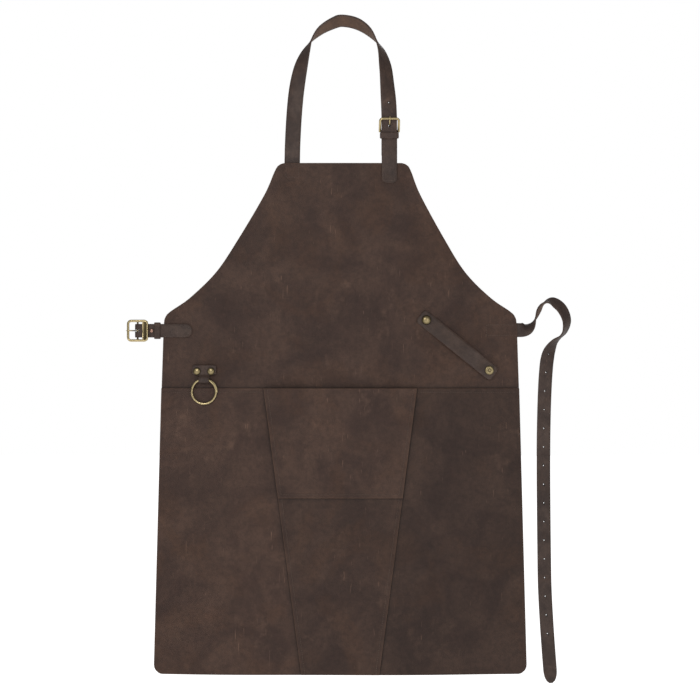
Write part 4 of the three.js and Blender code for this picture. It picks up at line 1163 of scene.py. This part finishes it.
# The prong lies flat across the frame, so its plane is turned on its side.
def waistProngShapes():
    tip = flapFace + lay + 2 * wire["frame"] - waistBarFront + wire["prong"]
    turn = np.array(((0, 0, -1.0), (0, 1, 0), (1, 0, 0)))
    return [(np.asarray(points) @ turn.T + (barAlong, -waistBarFront, 0), faces) for points, faces in
            prongShapes([(1.2, 2.6), (4.6, 5.2), (tip - 0.6, 9), (tip + 0.3, 12.2), (tip + 0.1, 16.6)])]


finishPiece(unioned("waistProng", waistProngShapes(), waistSeat), brass, "prong_body", "waist_prong")
print("waist buckle strap made")

# ---- waist strap ----

waistRoute = [
    (waistEdge - waistStrap["sewn"], 1.5, waistStrap["height"], 0), (waistEdge - 1, 1.5, waistStrap["height"], 0),
    (293.5, 2.0, 552.9, 4), (303, 4, 556.6, 46), (312.6, 7, 568.4, 90), (320.8, 10, 586, 109),
    (330.4, 12, 596.4, 88), (343, 12, 597.6, 48), (356.8, 11, 587.5, 36), (364.8, 10, 569, 44),
    (362.2, 9, 552.6, 66), (354.6, 8, 541.4, 82), (344.4, 7, 531.2, 56), (336.4, 6, 517.6, 20),
    (333, 5, 505, 4), (330.4, 4, 480, 0), (328.4, 3, 440, 0), (327, 2, 380, 0), (326.8, 1, 320, 0),
    (327.2, 0, 260, 0), (327.8, -1, 200, 0), (328.8, -2, 140, 0), (331.6, -3, 85, 0), (335, -4, 35, 0),
    (339, -5, -15, 0),
]
waistFrames = strapFrames(routeStations(waistRoute, 330, waistStrap["width"], waistStrap["tip"]))
waistPiece = strap("waistStrap", waistFrames, strapHide)
punchHoles(waistPiece, waistFrames, [(waistStrap["first"] + k * waistStrap["pitch"], waistStrap["hole"])
                                     for k in range(waistStrap["count"])])
finishPiece(waistPiece, strapLeather, "apron", "waist_strap_root", "waist_strap",
            bend=("waist_strap_body",
                  *(onApron(waistEdge + d, waistStrap["height"], -1.5) for d in (1.2, 7.0))))
print("waist strap made")

# ---- stitching ----

stitch = {"Pitch": 3.6, "Stitch Length": 2.9, "Thread Radius": 0.36, "proud": 0.22, "margin": 6,
          "endMargin": 3, "step": 1.2}


# A tree that lays one stitch after another along a line of edges.
def makeStitchTree():
    tree = bpy.data.node_groups.new("stitchRow", "GeometryNodeTree")
    for label, kind in (("Geometry", "Geometry"), ("Pitch", "Float"), ("Stitch Length", "Float"),
                        ("Thread Radius", "Float"), ("Material", "Material")):
        tree.interface.new_socket(label, in_out="INPUT", socket_type=f"NodeSocket{kind}")
    tree.interface.new_socket("Geometry", in_out="OUTPUT", socket_type="NodeSocketGeometry")
    given = tree.nodes.new("NodeGroupInput").outputs
    line = addNode(tree, "GeometryNodeMeshToCurve", {"Mesh": given["Geometry"]}).outputs[0]
    spots = addNode(tree, "GeometryNodeResampleCurve", {"Curve": line, "Length": given["Pitch"]},
                    mode="LENGTH").outputs[0]
    bead = addNode(tree, "GeometryNodeMeshUVSphere", {"Segments": 8, "Rings": 5, "Radius": 1.0}).outputs[0]
    tangent = addNode(tree, "GeometryNodeInputTangent").outputs[0]
    aim = addNode(tree, "FunctionNodeAlignRotationToVector", {"Vector": tangent}, axis="Z").outputs[0]
    radius = given["Thread Radius"]
    size = addNode(tree, "ShaderNodeCombineXYZ", {
        "X": radius, "Y": radius, "Z": maths(tree, "MULTIPLY", given["Stitch Length"], 0.5)}).outputs[0]
    laid = addNode(tree, "GeometryNodeInstanceOnPoints", {
        "Points": spots, "Instance": bead, "Rotation": aim, "Scale": size}).outputs[0]
    real = addNode(tree, "GeometryNodeRealizeInstances", {"Geometry": laid}).outputs[0]
    shaded = addNode(tree, "GeometryNodeSetMaterial", {"Geometry": real, "Material": given["Material"]})
    tree.links.new(shaded.outputs[0], tree.nodes.new("NodeGroupOutput").inputs[0])
    return tree


stitchTree = makeStitchTree()
stitchInputs = {item.name: item.identifier for item in stitchTree.interface.items_tree
                if item.item_type == "SOCKET" and item.in_out == "INPUT"}


# Lays a row of stitches on the apron through spots, front being what lies under them.
def stitchRow(name, node, spots, front):
    points = []
    for (ax, ah), (bx, bh) in zip(spots, spots[1:]):
        count = max(1, round(math.hypot(bx - ax, bh - ah) / stitch["step"]))
        points += [(ax + (bx - ax) * k / count, ah + (bh - ah) * k / count) for k in range(count)]
    points.append(spots[-1])
    places = [onApron(x, h, (front(x, h) if callable(front) else front) + unevenness(x, h)
                      + stitch["proud"]) * metre for x, h in points]
    mesh = bpy.data.meshes.new(name)
    mesh.from_pydata([tuple(p) for p in places], [(i, i + 1) for i in range(len(places) - 1)], [])
    piece = placeObject(name, mesh)
    change = piece.modifiers.new("stitches", "NODES")
    change.node_group = stitchTree
    for label in ("Pitch", "Stitch Length", "Thread Radius"):
        change[stitchInputs[label]] = stitch[label] * metre
    change[stitchInputs["Material"]] = waxedThread
    bakeModifier(piece, change)
    finishPiece(piece, waxedThread, "apron", node)


# The row round a sewn end, open where the strap leaves the bib.
def sewnEnd(name, node, left, right, top, foot, front):
    stitchRow(name, node, [(left, top), (left, foot), (right, foot), (right, top)], front)


margin, endMargin = stitch["margin"], stitch["endMargin"]
for name, side in (("Left", -1), ("Right", 1)):
    seam = [(side * x, waistHeight - margin)
            for x in between(goreEdge(waistHeight) + endMargin, body["waist"] / 2 - 5, 12)]
    stitchRow(f"waistSeamThread{name}", f"waist_seam_thread_{name.lower()}", seam, layer(1) + hide)
    seam = [(side * (goreEdge(h) - margin), h) for h in between(4, pocketBottom - endMargin, 14)]
    stitchRow(f"goreThread{name}", f"gore_thread_{name.lower()}", seam, layer(2) + hide)
rise = between(pocketBottom + margin, waistHeight - endMargin, 8)
stitchRow("pocketThread", "pocket_thread", [(margin - goreEdge(h), h) for h in reversed(rise)]
          + [(goreEdge(h) - margin, h) for h in rise], lambda x, h: pocketBack(x, h) + hide)
bibTop = body["top"] - 4
sewnEnd("neckStrapThread", "neck_strap_thread", neck["left"] - 11, neck["left"] + 9, bibTop,
        body["top"] - neck["sewn"] + endMargin, hide)
sewnEnd("neckBuckleThread", "neck_buckle_thread", neck["right"] - 9.5, neck["right"] + 9.5, bibTop,
        buckleFoot + 4, flapFace)
at, half = waistStrap["height"], waistStrap["width"] / 2 - endMargin
start, end = waistEdge - waistStrap["sewn"] + endMargin, waistEdge - endMargin
stitchRow("waistStrapThread", "waist_strap_thread",
          [(end, at + half), (start, at + half), (start, at - half), (end, at - half)], hide)
at, root, tip = buckle["height"], -buckle["fold"] + 4, buckle["end"] - 9
stitchRow("waistBuckleThread", "waist_buckle_thread", [
    (root, at + 8), (tip, at + 8), (tip + 4.5, at + 4), (tip + 4.5, at - 4), (tip, at - 8), (root, at - 8)],
    flapFace)
print("stitching made")

# ---- floor, light and camera ----

studio = {"floor": -1.34, "floorGlow": 0.8, "lens": 250, "distance": 7.78, "centre": (0.0156, -0.5195),
          "front": -0.015, "skyLow": 0.10, "skyHigh": 0.5, "aim": (0, 0, -0.5)}
lamps = {"keyLight": ((-1.1, -2.9, 0.7), 0.9, 37), "fillLight": ((1.5, -2.8, -0.1), 1.1, 15),
         "backLight": ((0.6, 2.8, 0.6), 1.4, 15)}  # place, size and power


def makeFloor():
    bpy.ops.mesh.primitive_plane_add(size=60, location=(0, 0, studio["floor"]))
    floor = bpy.context.object
    floor.name = "studioFloor"
    pale, tree, shader, place = startMaterial("paleFloor")
    colour = blendColour(tree, noise(tree, place, 3.0), (0.93, 0.93, 0.93, 1), (0.96, 0.96, 0.96, 1))
    tree.links.new(colour, shader["Base Color"])
    shader["Roughness"].default_value = 0.9
    shader["Emission Color"].default_value = (1, 1, 1, 1)
    shader["Emission Strength"].default_value = studio["floorGlow"]
    floor.data.materials.append(pale)


# A plain white surround whose light falls off towards the ground.
def makeSky():
    world = bpy.data.worlds.new("studioWorld")
    bpy.context.scene.world = world
    world.use_nodes = True
    tree = world.node_tree
    sky = next(n for n in tree.nodes if n.type == "BACKGROUND")
    direction = addNode(tree, "ShaderNodeTexCoord").outputs["Generated"]
    up = addNode(tree, "ShaderNodeSeparateXYZ", {0: direction}).outputs["Z"]
    light = step(tree, up, -0.5, 0.9, studio["skyLow"], studio["skyHigh"])
    seen = addNode(tree, "ShaderNodeLightPath").outputs["Is Camera Ray"]
    tree.links.new(maths(tree, "MAXIMUM", light, seen), sky.inputs["Strength"])
    sky.inputs["Color"].default_value = (1, 1, 1, 1)


def makeLamps():
    for name, (place, size, power) in lamps.items():
        data = bpy.data.lights.new(name, "AREA")
        data.size, data.energy = size, power
        lamp = placeObject(name, data)
        lamp.location = place
        lamp.rotation_euler = (Vector(studio["aim"]) - Vector(place)).to_track_quat("-Z", "Y").to_euler()


def makeCamera():
    data = bpy.data.cameras.new("camera")
    data.lens = studio["lens"]
    camera = placeObject("camera", data)
    x, z = studio["centre"]
    camera.location = (x, studio["front"] - studio["distance"], z)
    camera.rotation_euler = (math.pi / 2, 0, 0)
    bpy.context.scene.camera = camera


makeFloor()
makeSky()
makeLamps()
makeCamera()
bpy.context.scene.view_settings.view_transform = "Standard"
print("floor, light and camera set")
